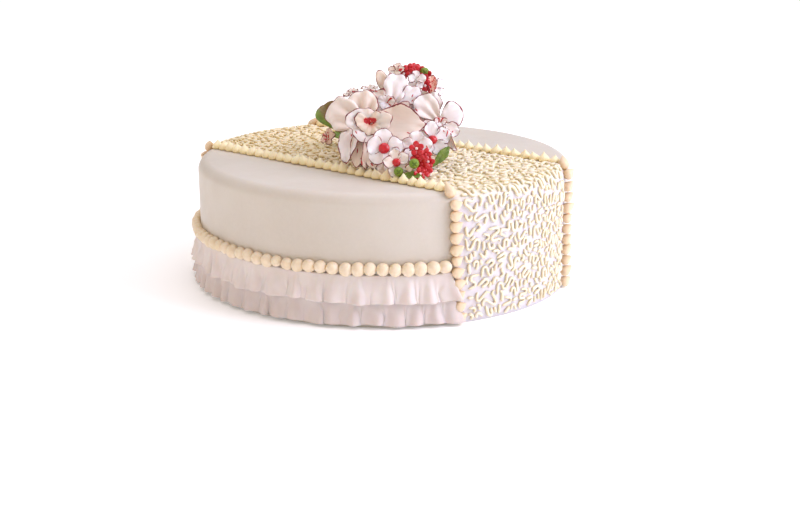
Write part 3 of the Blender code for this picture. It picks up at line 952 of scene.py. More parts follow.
def add_frill(name, node, top, hem, flare, wave, folds, seed):
    """A gathered strip round the left panel, from border to border. Flare and wave are how far it
    stands out at its hem, and how deep its folds are."""
    half = panel_half(hem, 5.8 * MM)
    shape = bmesh.new()
    bmesh.ops.create_grid(shape, x_segments=folds * 26, y_segments=16, size=0.5)
    for vert in shape.verts:
        share, down = vert.co.x + 0.5, 0.5 - vert.co.y
        vary = noise.noise(Vector((share * folds * 0.9, seed, 0)))
        phase = folds * share + 0.5 * vary + 0.1 * noise.noise(Vector((share * 40, down * 2, seed)))
        swing = math.tau * phase
        fold = math.cos(swing + 0.9 * math.sin(swing)) + 0.25 * math.cos(3 * swing + 4 * vary)
        depth = wave * (0.8 + 0.7 * noise.noise(Vector((share * folds * 0.55, seed + 9, 0))))
        open_up = smooth(down, -0.15, 0.75) * (0.3 + 0.7 * down)
        end = abs(2 * share - 1) ** 24
        out = RADIUS + 0.7 * MM + flare * down**1.2 + depth * fold * open_up + 1.6 * MM * end * down
        lean = 2.1 * math.sin(swing) + 0.9 * math.cos(swing)
        side = lean * MM * open_up + 4.5 * MM * end * down * math.copysign(1, share - 0.5)
        turn = math.pi - half + 2 * half * share + side / RADIUS
        ripple = noise.noise(Vector((share * folds * 0.7, seed + 4, down)))
        up = top + (hem - top) * down + (1.6 * ripple + 0.1 * fold) * MM * down
        crumple = 0.4 * MM * noise.noise(Vector((share * 60, down * 4, seed)))
        out = min(out + crumple * down, MOST_OUT)
        vert.co = Vector((out * math.cos(turn), out * math.sin(turn), max(up, FOOT_GAP)))
    bmesh.ops.recalc_face_normals(shape, faces=shape.faces)
    new_piece(shape, name, frill_paste, [node], thickness=0.9 * MM)


add_frill("frill_over", "frill_upper", 35 * MM, 17 * MM, 4.6 * MM, 2.0 * MM, 19, 3)
add_frill("frill_under", "frill_lower", 20 * MM, 2.4 * MM, 3.8 * MM, 1.6 * MM, 22, 8)

# %% [markdown]
# ## Sugar petals
# A petal is cut from thin flower paste, thinned and ruffled along its edge with a ball tool, and
# dried over a former. Here a grid is rounded into a disc, the disc is stretched into the petal's
# outline, and then it is cupped, bent, folded and ruffled. Each point also carries its distance
# from the edge, because the edge is painted dark red, how flushed it is, and its tint and shade:
# beige that is partly the paste's own and partly painted shade, deeper towards the base and on the
# petals that face away from the light.

# %% What petals carry
PETAL_LAYERS = ("rim", "tint", "blush", "vein")


def new_petals():
    """An empty bmesh that carries what the petals' paint needs."""
    shape = bmesh.new()
    for layer in PETAL_LAYERS:
        shape.verts.layers.float.new(layer)
    shape.verts.layers.float_vector.new("grain")
    shape.verts.layers.deform.new()
    return shape


def petal_layers(shape):
    """Those values by name, and the direction of the grain."""
    layers = {name: shape.verts.layers.float[name] for name in PETAL_LAYERS}
    return layers, shape.verts.layers.float_vector["grain"]


def paint_all(shape, **values):
    """Gives every point of a shape the same values, such as a rim far from any edge."""
    layers, _ = petal_layers(shape)
    for vert in shape.verts:
        for name, value in values.items():
            vert[layers[name]] = value


print("petals carry", PETAL_LAYERS, "and their grain")

# %% One petal
def petal(
    length, half_width, cup=0.0, bend=0.0, ruffle=0.0, waves=5.0, point=0.0, base=0.35, curl=0.0,
    folds=0.0, crumple=0.5, tint=0.3, shading=0.35, blush=0.0, flush=0.0, paint=1.0, seed=0.0,
    cells=14,
):
    """A petal in mm that runs from the origin along +Y and faces +Z. Cup raises its sides, bend
    turns its tip forwards by an angle, ruffle waves its edge, curl rolls the edge back, and folds
    are ridges that fan out from its base. Point, base and half width give its outline."""
    shape = new_petals()
    layers, grain = petal_layers(shape)
    bmesh.ops.create_grid(shape, x_segments=cells, y_segments=cells, size=1)
    for vert in shape.verts:
        a, b = vert.co.x, vert.co.y
        x, y = a * math.sqrt(1 - b * b / 2), b * math.sqrt(1 - a * a / 2)
        reach = min(1, math.hypot(x, y))
        round_it = math.atan2(x, y)
        along = (y + 1) / 2
        wave = math.sin(waves * round_it + seed * 2.4)
        wave += 0.6 * math.sin(waves * 1.7 * round_it + seed)
        wave += 0.8 * noise.noise(Vector((round_it * 1.3, seed, 2)))
        width = half_width * (base + (1 - base) * smooth(along, 0, 0.62))
        width *= (1 - point) + point * math.sqrt(max(0, 1 - along)) * 1.35
        nick = 1 + 0.045 * ruffle * wave * smooth(reach, 0.6, 1) * smooth(along, 0.1, 0.5)
        across = x * width * nick
        outer = length * (0.5 + 0.5 * y * nick)
        outline = half_width
        if reach > 0.01:
            outline = (0.5 * length * abs(y) + width * abs(x)) / reach
        up = cup * half_width * (x * x) + ruffle * wave * smooth(reach, 0.35, 1) ** 2
        from_base = math.atan2(across, outer + 0.2 * length)
        fold = folds * math.cos(15 * from_base + seed)
        up += fold * smooth(along, 0, 0.25) * smooth(along, 1, 0.45)
        up += crumple * noise.noise(Vector((across / 6, outer / 6, seed)))
        back = curl * smooth(reach, 0.7, 1) ** 1.5
        up -= back
        across *= 1 - 0.06 * abs(back) * abs(x)
        if abs(bend) > 0.01:
            turn, bow = bend * along, length / bend
            outer = bow * math.sin(turn) - up * math.sin(turn)
            up = bow * (1 - math.cos(turn)) + up * math.cos(turn)
        vert.co = (across, outer, up)
        vert[layers["rim"]] = (1 - reach) * outline + (1 - paint) * 3 + 3 * smooth(along, 0.2, 0)
        # Partly the paste's own beige, partly painted shade, deeper towards the base.
        vert[layers["tint"]] = tint + shading * (1 - along)
        vert[layers["blush"]] = max(flush, blush * smooth(along, 0.5, 0.05))
        vert[layers["vein"]] = 0
        vert[grain] = (x * 2, along * 0.3, seed)
    return shape


sample = petal(20, 8)
print("a petal of 14 cells has", len(sample.faces), "faces")
sample.free()

# %% [markdown]
# ## Placing petals
# A petal lies flat when it is made. It is then put where its base and its tip should be, or turned
# round its flower's middle. When a flower is whole, Solidify rolls it out to its thickness, and a
# vertex group thins it towards the edge, as the ball tool does.

# %% Placing petals
def add_shape(target, shape, matrix):
    """Moves a shape into place and adds it to a piece's bmesh."""
    moved = as_stamp(shape, "moved")
    add_stamp(target, moved, matrix)
    bpy.data.meshes.remove(moved)


print("shapes are added one by one")

# %% Ways to face
def flower_frame(at, azimuth, elevation):
    """Places a shape that faces +Z so that it faces this way in the spray, with +Y upwards."""
    turn = Matrix.Rotation(math.radians(azimuth), 4, "Z")
    tilt = Matrix.Rotation(math.radians(90 - elevation), 4, "Y")
    return Matrix.Translation(at) @ turn @ tilt @ Matrix.Rotation(math.radians(90), 4, "Z")


def between(root, tip, facing_way, bend=0.0):
    """Places a shape that runs along +Y and faces +Z from one point to another. It faces this
    azimuth and elevation, and a bent shape is turned so that its ends stay on the points."""
    azimuth, elevation = (math.radians(angle) for angle in facing_way)
    level = math.cos(elevation)
    towards = Vector((level * math.cos(azimuth), level * math.sin(azimuth), math.sin(elevation)))
    run = (Vector(tip) - Vector(root)).normalized()
    across = run.cross(towards).normalized()
    turn = Matrix((across, run, across.cross(run))).transposed().to_4x4()
    return Matrix.Translation(root) @ turn @ Matrix.Rotation(-bend / 2, 4, "X")


def petal_frame(direction, tilt, twist, height):
    """Turns a petal to a direction in degrees round the flower, and tilts it forwards."""
    return (
        Matrix.Rotation(math.radians(direction - 90), 4, "Z")
        @ Matrix.Translation((0, 0, height))
        @ Matrix.Rotation(math.radians(tilt), 4, "X")
        @ Matrix.Rotation(math.radians(twist), 4, "Y")
    )


print("a petal can be placed by its ends or round a flower")

# %% Rolling petals out
flowers = []


def new_flower(shape, name, finish, nodes, thickness=0.95):
    """Brings gathered petals from the spray's frame, in mm, to the cake, and rolls them out to a
    thickness in mm. They are thinner at the edge, where the paste was frilled."""
    bmesh.ops.transform(shape, matrix=SPRAY_MM, verts=shape.verts)
    rims = [vert[shape.verts.layers.float["rim"]] for vert in shape.verts]
    piece = new_piece(shape, name, finish, nodes, thickness=thickness * MM)
    flowers.append(piece)
    body = piece.vertex_groups.new(name="body")
    for index, rim in enumerate(rims):
        body.add([index], 0.4 + 0.6 * smooth(rim, 0, 3), "REPLACE")  # whole from 3 mm in
    piece.modifiers["rolled"].vertex_group = "body"

# %% [markdown]
# ## Orchids
# An orchid has five to seven petals round a ruffled cup, the lip. No two were dried alike, so each
# has its own length, width, bend and ruffle, and they are placed one by one: base, tip, half width,
# the way it faces as azimuth and elevation, and its form.

# %% Orchid petals
ORCHID_PETALS = {
    "front": (
        ((-13, -52, 29), (-14.6, -44, 52.6), 12, (-98, 8),
         dict(cup=0.1, bend=-0.5, ruffle=0.9, curl=1.2, folds=1.5, base=0.5, tint=0.7, paint=1.12)),
        ((-12, -53, 30), (-39, -47, 41.2), 14, (-108, 22),
         dict(cup=0.1, bend=-0.5, ruffle=1.3, curl=2.6, folds=1.6, base=0.5, tint=0.55,
              paint=1.15)),
        ((-8, -54, 30), (28.5, -57, 30.8), 14.5, (-88, 28),
         dict(cup=0.3, ruffle=0.6, point=0.8, base=0.6, tint=0.7, paint=1.15)),
        ((-19, -55, 29), (-25.5, -70, 6.4), 7.4, (-112, 16),
         dict(cup=0.5, bend=-0.6, ruffle=0.9, point=0.5, base=0.75, folds=0.5, tint=0.2)),
        ((-14.6, -56, 26), (-18.2, -74, 4.6), 6.5, (-94, 8),
         dict(cup=0.4, bend=-0.4, ruffle=1.1, point=0.4, base=0.8, tint=1.15)),
        ((-11.6, -60, 24), (-13.6, -79, 4.2), 5.4, (-62, 6),
         dict(cup=0.9, bend=-0.4, ruffle=1.6, waves=3, point=0.3, base=0.7, crumple=1.2, tint=1.3)),
        ((-7, -62, 20), (-5.5, -82, 6.2), 5.5, (-122, 14),
         dict(cup=0.3, bend=-0.3, ruffle=1.5, waves=3.4, base=0.7, crumple=1.1, tint=0.95)),
    ),
    "top": (
        ((3, -25, 44), (-3.6, -20, 62.6), 4.6, (-84, 5),
         dict(cup=0.3, bend=-0.3, curl=0.8, base=0.5, tint=1.1)),
        ((6.3, -34, 40.5), (9.1, -25, 60.8), 8.6, (-88, 10),
         dict(cup=0.1, bend=-0.4, ruffle=1.3, waves=4, base=0.8, folds=0.4, tint=0.0)),
        ((9, -33, 41), (25.5, -28, 49), 7, (-78, 26),
         dict(cup=0.2, bend=-0.3, ruffle=0.9, tint=0.05, folds=0.4)),
        ((5, -34, 41), (-9, -34, 47.5), 6.5, (-100, 26),
         dict(cup=0.2, bend=-0.3, ruffle=1.0, tint=0.55)),
        ((4, -36, 40), (-8, -41, 38.5), 6, (-100, 26),
         dict(cup=0.2, bend=-0.2, ruffle=0.8, tint=0.35)),
        ((6, -36, 41), (15, -46, 35), 8, (-84, 30),
         dict(cup=0.3, ruffle=0.8, tint=0.3, blush=0.6)),
    ),
    "right": (
        ((37, -34, 32), (32.6, -26, 47.5), 6, (-82, 14),
         dict(cup=0.2, bend=-0.3, ruffle=1.0, tint=0.2, folds=0.4)),
        ((38, -38, 30), (22.5, -33, 45.5), 9.5, (-84, 24),
         dict(cup=0.1, bend=-0.3, ruffle=0.9, folds=0.7, base=0.45, tint=0.35)),
        ((39, -38, 31), (54, -35.5, 37.5), 9.6, (-80, 14),
         dict(cup=0.12, bend=-0.2, ruffle=0.5, curl=0.8, base=0.5, tint=0.0, paint=1.16)),
        ((37, -42, 29), (26, -51, 23), 7, (-80, 24),
         dict(cup=0.2, bend=-0.2, ruffle=0.8, tint=0.3)),
        ((40, -41, 29), (50.5, -46, 21.5), 5.5, (-70, 14),
         dict(cup=0.3, bend=-0.3, ruffle=1.0, tint=0.15)),
        ((42, -44, 27), (48.5, -57.5, 12.5), 3.6, (-120, 16),
         dict(cup=0.9, bend=-0.4, ruffle=1.4, point=0.4, tint=0.5)),
    ),
    "back": (
        ((8, 4, 31), (4.6, -8.2, 48.6), 12, (92, 36),
         dict(cup=0.1, bend=-0.5, ruffle=0.8, curl=1.2, folds=0.6, tint=0.4)),
        ((8, 4, 31), (-17.9, 6.3, 29.2), 14, (92, 36),
         dict(cup=0.2, bend=-0.4, ruffle=0.9, folds=0.6, tint=0.3)),
        ((8, 4, 31), (31.3, -1.8, 37.9), 13, (92, 36),
         dict(cup=0.15, bend=-0.5, ruffle=1.1, curl=1.5, tint=0.4)),
        ((8, 4, 31), (24.6, 12.1, 19.1), 10, (92, 36),
         dict(cup=0.3, bend=-0.5, ruffle=0.8, tint=0.6)),
        ((8, 4, 31), (0.6, 17, 13.5), 11, (92, 36),
         dict(cup=0.3, bend=-0.4, ruffle=0.9, tint=0.7)),
    ),
}
print({flower: len(rows) for flower, rows in ORCHID_PETALS.items()}, "petals")

# %% Making the orchids' petals
for flower, rows in ORCHID_PETALS.items():
    shape = new_petals()
    for index, (root, tip, half_width, facing_way, form) in enumerate(rows):
        length = (Vector(tip) - Vector(root)).length
        made = petal(length, half_width, seed=index * 1.7 + len(flower), cells=22, **form)
        add_shape(shape, made, between(root, tip, facing_way, form.get("bend", 0)))
    new_flower(shape, f"petals_{flower}", petal_paste, [f"orchid_{flower}"])

# %% [markdown]
# ## The orchids' lips
# The lip is a trumpet: a profile turned about the flower's axis. Its rim is then drawn into lobes
# and ruffled, more the nearer the rim. Its throat is dusted red, and some have red marks. The front
# flower has two cups, one inside the other.

# %% Ruffled lips
# Of each lip: its place, the way it faces, and each cup's radius, ruffle, flush, and tint and shade.
LIPS = {
    "front": ((-9.8, -58, 29.5), (-94, 18), ((14.5, 2.0, 0.55, 0.3), (10, 2.4, 0.98, 1.0))),
    "top": ((2.2, -37.5, 42.3), (-96, 14), ((6.2, 0.8, 0.1, 0.1),)),
    "right": ((38, -43, 30), (-84, 14), ((4.4, 0.8, 0.3, 0.1),)),
    "back": ((8, 4, 31), (92, 36), ((9.5, 1.6, 0.0, 0.3), (5.5, 1.0, 0.98, 0.8))),
}
# Strokes at an angle, with a half width in degrees, from one share of the cup's depth to another.
RED_MARKS = {
    "front": ((186, 3, 0.5, 0.64),),
    "top": ((48, 11, 0.0, 0.85), (-42, 12, 0.0, 0.8), (0, 50, 0.0, 0.22)),
    "right": ((60, 13, 0.4, 0.9), (110, 13, 0.4, 0.9)),
    "back": (),
}
print(sum(len(cups) for _, _, cups in LIPS.values()), "cups in", len(LIPS), "lips")

# %% One lip
LIP_ROWS = 14
FULL_RED = 1.3  # a flush this strong is solid paint


def ruffled_lip(radius, ruffle, blush, tint, seed, marks):
    """A cup that faces +Z, with a wavy rim."""
    profile = []
    for row in range(LIP_ROWS + 1):
        share = row / LIP_ROWS
        out, up = 0.08 + 0.92 * share**1.25, 0.7 * share**0.7 - 0.12 * share**4
        profile.append((radius * out, radius * up))
    shape = new_petals()
    add_shape(shape, turned(profile, 72), Matrix())
    layers, grain = petal_layers(shape)
    for vert in shape.verts:
        round_it = math.atan2(vert.co.y, vert.co.x)
        share = min(1, max(0, (vert.co.xy.length / radius - 0.08) / 0.92)) ** (1 / 1.25)
        lobes = 1 + 0.1 * share * math.cos(3 * (round_it + math.pi / 2))
        wave = 0.35 * math.sin(5 * round_it + seed) + 0.5 * math.sin(11 * round_it + 2 * seed)
        wave += 2.6 * noise.noise(Vector((math.cos(round_it), math.sin(round_it), seed)) * 1.8)
        vert.co.x *= lobes * (1 + 0.065 * wave * share**2)
        vert.co.y *= lobes * (1 + 0.065 * wave * share**2) * 0.8
        vert.co.z += ruffle * wave * share**2 * 0.6
        vert[layers["rim"]] = (1 - share) * radius * 1.2
        # Beige, partly the paste's own and partly painted shade, deeper on one side of the rim.
        vert[layers["tint"]] = tint + 0.5 * share * max(0, math.cos(round_it - 0.6))
        flush = 0.75 * blush * smooth(share, 0.7, 0.1)
        patch = math.hypot((vert.co.x + 0.5) / 5.5, (vert.co.y - 1.6) / 2.8)
        flush = max(flush, 0.95 * blush * smooth(patch, 1.15, 0.7))
        for angle, half, low, high in marks:
            away = abs((math.degrees(round_it) - angle + 180) % 360 - 180)
            if away < half and low < share < high:
                flush = FULL_RED
        vert[layers["blush"]] = flush
        vert[grain] = (math.cos(round_it), math.sin(round_it), seed + share * 0.3)
    return shape


print("a lip has", LIP_ROWS, "rows of faces")

# %% Making the lips
for flower, (at, facing_way, cups) in LIPS.items():
    shape = new_petals()
    for index, (radius, ruffle, blush, tint) in enumerate(cups):
        marks = RED_MARKS[flower] if index == 0 else ()
        made = ruffled_lip(radius, ruffle, blush, tint, len(flower) + 2 * index, marks)
        forward = Matrix.Translation((1.7 * index, 1.3 * index, 1.2 + 2.4 * index))
        add_shape(shape, made, flower_frame(at, *facing_way) @ forward)
    new_flower(shape, f"lip_{flower}", petal_paste, [f"orchid_{flower}_lip"])

# %% [markdown]
# ## Blossoms
# Small blossoms come from a five-petal cutter. Each is cupped in the hand, edged with red, and
# gets a glossy red dot of icing for its heart. One petal is made five times, each a little
# different, because a cutter's petals never dry alike.

# %% Blossoms and their hearts
# For each flower: its place, the way it faces, its radius, the turn of its first petal, its form.
BLOSSOMS = {
    "front": (((0.2, -82, 18.9), (-90, 22), 13.4, 90, dict(tint=0.0)),),
    "low": (((8.2, -91, 11.8), (-92, 12), 9.6, 250, dict(point=0.5, tint=0.55)),),
    "middle": (((21.3, -73, 18.2), (-86, 20), 10.8, 90, dict(tint=0.1)),),
    "right": (((32.5, -55, 19.6), (-78, 20), 12.6, 90, dict(tint=0.0)),),
    "left": (((-38.4, -20, 15.2), (-125, 28), 6.6, 90, dict(tint=0.75, flush=0.3)),),
    "behind": (
        ((-22.6, -29, 46.6), (-110, 72), 5.6, 90, dict(tint=0.6)),
        ((-9.8, -27, 49.0), (-80, 76), 6, 90, dict(tint=0.5)),
    ),
    "crown_left": (((9, -6, 59.2), (-108, 42), 6.4, 90, dict(tint=0.8)),),
    "crown": (((22.9, -14, 54), (-92, 18), 7.2, 90, dict(tint=0.1)),),
    "crown_right": (((35.8, -4, 47.8), (-24, 18), 8.6, 90, dict(tint=0.0)),),
    "back_left": (((-22, 16, 18), (135, 28), 11, 90, dict(tint=0.2)),),
    "back": (((14, 28, 14), (88, 20), 11, 90, dict(tint=0.1)),),
    "back_right": (((36, 14, 17), (48, 24), 10.5, 90, dict(tint=0.2)),),
}
# The radius of each heart, in mm. The others have none that shows.
HEART = {"front": 3.9, "low": 2.9, "right": 3.3, "back_left": 3.2, "back": 3.3, "back_right": 3.0}
print(len(BLOSSOMS), "places for blossoms and", len(HEART), "hearts")

# %% Five petals
def five_petals(shape, place, radius, first, form, seed, rng):
    """Five cupped petals round a flower's middle, 72 degrees apart."""
    for index in range(5):
        tilt, twist = 14 + rng.uniform(-8, 10), rng.uniform(-10, 10)
        turn = petal_frame(first + 72 * index + rng.uniform(-7, 7), tilt, twist, 0.25 * index)
        made = petal(
            radius * rng.uniform(0.9, 1.1), radius * rng.uniform(0.44, 0.53), cup=0.22,
            bend=rng.uniform(-0.6, 0.1), ruffle=0.7, waves=4, point=form.get("point", 0.15),
            base=0.26, crumple=0.6, tint=form["tint"] + 0.15 * rng.random(), shading=0.2,
            blush=0.15, flush=form.get("flush", 0), paint=0.94, seed=seed + index * 2.1, cells=12,
        )
        add_shape(shape, made, place @ turn)


print("petals of a blossom are", math.degrees(math.tau / 5), "degrees apart")

# %% Making the blossoms
hearts = new_icing()
for order, (blossom, rows) in enumerate(BLOSSOMS.items()):
    rng = random.Random(100 + order)
    shape = new_petals()
    for at, facing_way, radius, first, form in rows:
        place = flower_frame(at, *facing_way)
        five_petals(shape, place, radius, first, form, order, rng)
        if blossom in HEART:
            size = HEART[blossom]
            form_of_dot = Matrix.Diagonal((size, size, size * 1.1, 1))
            add_stamp(hearts, ball, place @ Matrix.Translation((0, 0, 0.6)) @ form_of_dot)
    nodes = [f"blossom_{blossom}"]
    new_flower(shape, f"blossom_{blossom}_petals", petal_paste, nodes, 0.85)
bmesh.ops.transform(hearts, matrix=SPRAY_MM, verts=hearts.verts)
finer(new_piece(hearts, "blossom_hearts", red_icing, []))

# %% [markdown]
# ## Sprigs of red florets
# Tiny florets are cut from red paste and piled along a wire. One floret is five round lobes round
# a small dome, and some get a pale dot of paste. Copies of it are turned every way along each
# sprig's line, which gives a full bunch from one small shape.

# %% Where the florets lie
# Each floret's place, in mm, from the top of its sprig down.
SPRIGS = {
    "front": (
        (21.3, -88, 20.4), (21.8, -90, 15.4), (27, -87.5, 16.4), (29, -88, 11.2),
        (24.6, -93, 11.2), (27.2, -93, 7.2), (23.2, -96, 5.4),
    ),
    "crown": (
        (14.0, -8, 58.0), (17.7, -6, 60.4), (21.3, -4, 60.8), (19.8, -9, 57.6),
        (24.5, -2, 59.5), (27.4, -11, 54.6), (28.8, -12, 50.4), (30, -4, 56), (32.4, -9, 49),
    ),
    "back": (
        (-8, 25.5, 16.5), (-8.2, 27.5, 14.5), (-8.3, 30, 11.8), (-8.6, 32, 9.6), (-9, 34, 7.4),
        (-5.5, 29, 13),
    ),
}
print({sprig: len(places) for sprig, places in SPRIGS.items()}, "florets")

# %% One floret
def floret():
    """Five thick round lobes, 1 across, that face +Z."""
    shape = bmesh.new()
    for index in range(5):
        turn = Matrix.Rotation(math.tau * index / 5, 4, "Z") @ Matrix.Translation((0, 0.58, 0))
        turn = turn @ Matrix.Rotation(0.3, 4, "X") @ Matrix.Diagonal((0.52, 0.6, 0.17, 1))
        bmesh.ops.create_uvsphere(shape, u_segments=8, v_segments=5, radius=1, matrix=turn)
    bmesh.ops.create_uvsphere(
        shape, u_segments=8, v_segments=5, radius=0.3, matrix=Matrix.Diagonal((1, 1, 0.7, 1))
    )
    return shape


red_floret = as_stamp(floret(), "floret")
print("a floret has", len(red_floret.polygons), "faces")

# %% Piling the florets
NO_RIM = 5  # a distance in mm from any painted edge
dots = new_petals()
for sprig, places in SPRIGS.items():
    rng = random.Random(200 + len(places))
    shape = new_icing()
    forward = 90 if sprig == "back" else -90
    for index, at in enumerate(places):
        turned_aside = 0.3 if index == 0 else 1
        azimuth = forward + rng.uniform(-32, 32) * turned_aside
        facing_way = (azimuth, 12 + rng.uniform(-12, 28) * turned_aside)
        place = flower_frame(at, *facing_way) @ Matrix.Rotation(rng.uniform(0, 6), 4, "Z")
        size = rng.uniform(4.2, 4.8) * (1.1 if index == 0 and sprig == "front" else 1)
        add_stamp(shape, red_floret, place @ Matrix.Diagonal((size, size, size, 1)))
        if index % 3:
            continue
        dot = place @ Matrix.Translation((0, 0, 0.9)) @ Matrix.Diagonal((0.95, 0.95, 0.7, 1))
        add_stamp(dots, ball, dot)
    bmesh.ops.transform(shape, matrix=SPRAY_MM, verts=shape.verts)
    finer(new_piece(shape, f"florets_{sprig}", red_icing, [f"sprig_{sprig}"]))
paint_all(dots, rim=NO_RIM, blush=0.4)
bmesh.ops.transform(dots, matrix=SPRAY_MM, verts=dots.verts)
new_piece(dots, "floret_dots", petal_paste, [])

# %% [markdown]
# ## Buds
# A bud is a ball of green paste with a cross cut into its front. The ball is an icosphere, whose
# even faces take the cut well, and the points near the cross's two lines are pushed in. That keeps
# the cut soft, as in paste, where a Boolean would leave it sharp.

# %% Buds
# Of each bud: its place and its radius, in mm.
BUDS = {
    "low": ((9.6, -95, 6.6), 3.1),
    "front": ((19.6, -96.5, 12.2), 3.3),
    "crown": ((28.8, -2, 58.4), 3.3),
    "back": ((9, 43, 6), 3.5),
}
for bud, (at, radius) in BUDS.items():
    shape = new_petals()
    bmesh.ops.create_icosphere(shape, subdivisions=4, radius=radius)
    for vert in shape.verts:
        face_on = Vector((vert.co.x, vert.co.z)) / radius
        front = smooth(-vert.co.y / radius if at[1] < 20 else vert.co.y / radius, 0.1, 0.8)
        near = min(abs(face_on.x + face_on.y), abs(face_on.x - face_on.y)) / 1.4
        groove = smooth(near, 0.22, 0) * front * smooth(face_on.length, 0.75, 0.5)
        vert.co *= 1 - 0.2 * groove
        vert[shape.verts.layers.float["rim"]] = NO_RIM
        # The cut is painted darker green: painted shade in the groove.
        vert[shape.verts.layers.float["tint"]] = 0.1 + 0.8 * groove
    bmesh.ops.transform(shape, matrix=SPRAY_MM @ Matrix.Translation(at), verts=shape.verts)
    new_piece(shape, f"closed_bud_{bud}", leaf_paste, [f"bud_{bud}"])

# %% [markdown]
# ## Leaves
# A leaf is a pointed petal of green paste, pressed on a veiner, which leaves a midrib and side
# veins. So it starts as a petal, and its points are pressed in along the veins. One leaf has
# toothed sides, and one is dusted brown.

# %% Leaves
# Of each leaf: its stem, its tip, its half width, the way it faces and its form.
LEAVES = {
    "front": ((10, -95, 3.4), (25, -99, 4.0), 3.4, (-90, 60), dict(point=0.8, cup=0.3)),
    "right": (
        (32.5, -69, 4.6), (44, -57, 15.6), 3.5, (-64, 26), dict(point=0.7, cup=0.3, teeth=0.5),
    ),
    "left": (
        (-29.5, -33, 21), (-42, -21, 38.5), 9.5, (-96, 24), dict(point=0.1, cup=0.8, brown=1.0),
    ),
    "back_left": ((-25, 12, 3.8), (-41, 33, 8), 7, (140, 80), dict(point=0.8, cup=0.35)),
    "back": ((0, 37, 3.8), (-3, 57, 7), 6.5, (90, 80), dict(point=0.8, cup=0.35)),
}
print(len(LEAVES), "leaves")

# %% Making the leaves
for leaf, (stem, tip, half_width, facing_way, form) in LEAVES.items():
    length = (Vector(tip) - Vector(stem)).length
    made = petal(
        length, half_width, cup=form["cup"], bend=-0.5, ruffle=0.3, waves=7, point=form["point"],
        base=0.3, tint=0.3, paint=0.0, seed=len(leaf), cells=24,
    )
    layers, grain = petal_layers(made)
    for vert in made.verts:
        across, along = vert[grain].x / 2, vert[grain].y / 0.3
        side = abs(across)
        rib = smooth(side, 0.1, 0)
        veins = smooth(abs(math.sin(8 * (along - 0.5 * side) * math.pi)), 0.3, 0) * 0.6
        vert[layers["vein"]] = max(rib, veins)
        vert.co.z -= 0.3 * max(rib, veins)
        saw = (9 * (along + 0.4 * side)) % 1
        vert.co.x *= 1 + form.get("teeth", 0) * 0.5 * (saw - 0.5) * smooth(side, 0.55, 0.9)
        vert[layers["tint"]] = 0.35 + 0.5 * noise.noise(vert.co / 5)
        inside = smooth(along, 0.25, 0.5) * smooth(across, -0.75, -0.35)
        vert[layers["blush"]] = form.get("brown", 0) * inside
        if form.get("brown"):
            vert[layers["rim"]] -= 3 * smooth(along, 0.7, 0.9)
    shape = new_petals()
    add_shape(shape, made, between(stem, tip, facing_way, -0.5))
    new_flower(shape, f"veined_leaf_{leaf}", leaf_paste, [f"leaf_{leaf}"], 0.9)

# %% [markdown]
# ## The mound
# The flowers are stuck into a mound of paste, which hardly shows. It is half an egg shape, bisected
# from a sphere, so that it stands flat on the cake.

# %% The mound
MOUND = (10, -17, 1.0)  # the middle of its foot, in mm
MOUND_RADII = Vector((25, 21, 45))
shape = new_petals()
bmesh.ops.create_icosphere(shape, subdivisions=5, radius=1)
bmesh.ops.bisect_plane(
    shape, geom=shape.verts[:] + shape.edges[:] + shape.faces[:], plane_co=(0, 0, 0),
    plane_no=(0, 0, -1), clear_outer=True,
)
bmesh.ops.holes_fill(shape, edges=[edge for edge in shape.edges if edge.is_boundary])
for vert in shape.verts:
    vert.co *= 1 + 0.06 * noise.noise(vert.co * 2.5)
paint_all(shape, rim=NO_RIM, tint=0.9)
dome = Matrix.Translation(MOUND) @ Matrix.Diagonal((*MOUND_RADII, 1))
bmesh.ops.transform(shape, matrix=SPRAY_MM @ dome, verts=shape.verts)
new_piece(shape, "paste_mound", petal_paste, ["mound"])

# %% [markdown]
# ## Small petals that fill the spray
# Small petals are pressed over the mound, and more are packed between it and the flowers in front,
# so that the spray looks full from every side. Over the mound they follow the golden angle, the
# turn from seed to seed in a sunflower, which spreads them evenly without rows.

# %% Small petals over the mound
rng = random.Random(55)
shape = new_petals()
GOLDEN = math.pi * (3 - math.sqrt(5))
OVER_MOUND, BEHIND_FRONT = 64, 76
for index in range(OVER_MOUND):
    up = 0.06 + 0.9 * index / OVER_MOUND
    level = math.sqrt(1 - up * up)
    turn = GOLDEN * index
    on_ball = Vector((level * math.cos(turn), level * math.sin(turn), up))
    root = Vector(MOUND) + on_ball * MOUND_RADII * 0.98
    outward = Vector([part / reach for part, reach in zip(on_ball, MOUND_RADII)]).normalized()
    upward = Vector((0, 0, 1)) - outward * outward.z + 0.3 * outward.cross(Vector((0, 0, 1)))
    upward.normalize()
    free = max(smooth(on_ball.y, -0.2, 0.5), smooth(abs(on_ball.x), 0.55, 0.9))
    free *= smooth(up, 0.85, 0.6)
    length = rng.uniform(9, 12) + 4 * free * rng.random()
    tip = root + (upward + outward * (0.1 + free * rng.uniform(0.3, 1.3))).normalized() * length
    if tip.z > 62:  # above the flowers at the top
        continue
    azimuth = math.degrees(math.atan2(outward.y, outward.x))
    made = petal(
        length, rng.uniform(4.5, 6) + 1.5 * free, cup=0.3, bend=-0.4, ruffle=0.7 + 0.5 * free,
        waves=4, base=0.4, tint=0.2 + 0.6 * rng.random(), seed=index * 1.3, cells=9,
    )
    add_shape(shape, made, between(root, tip, (azimuth, 20), -0.4))
print(len(shape.faces), "faces of petals over the mound")

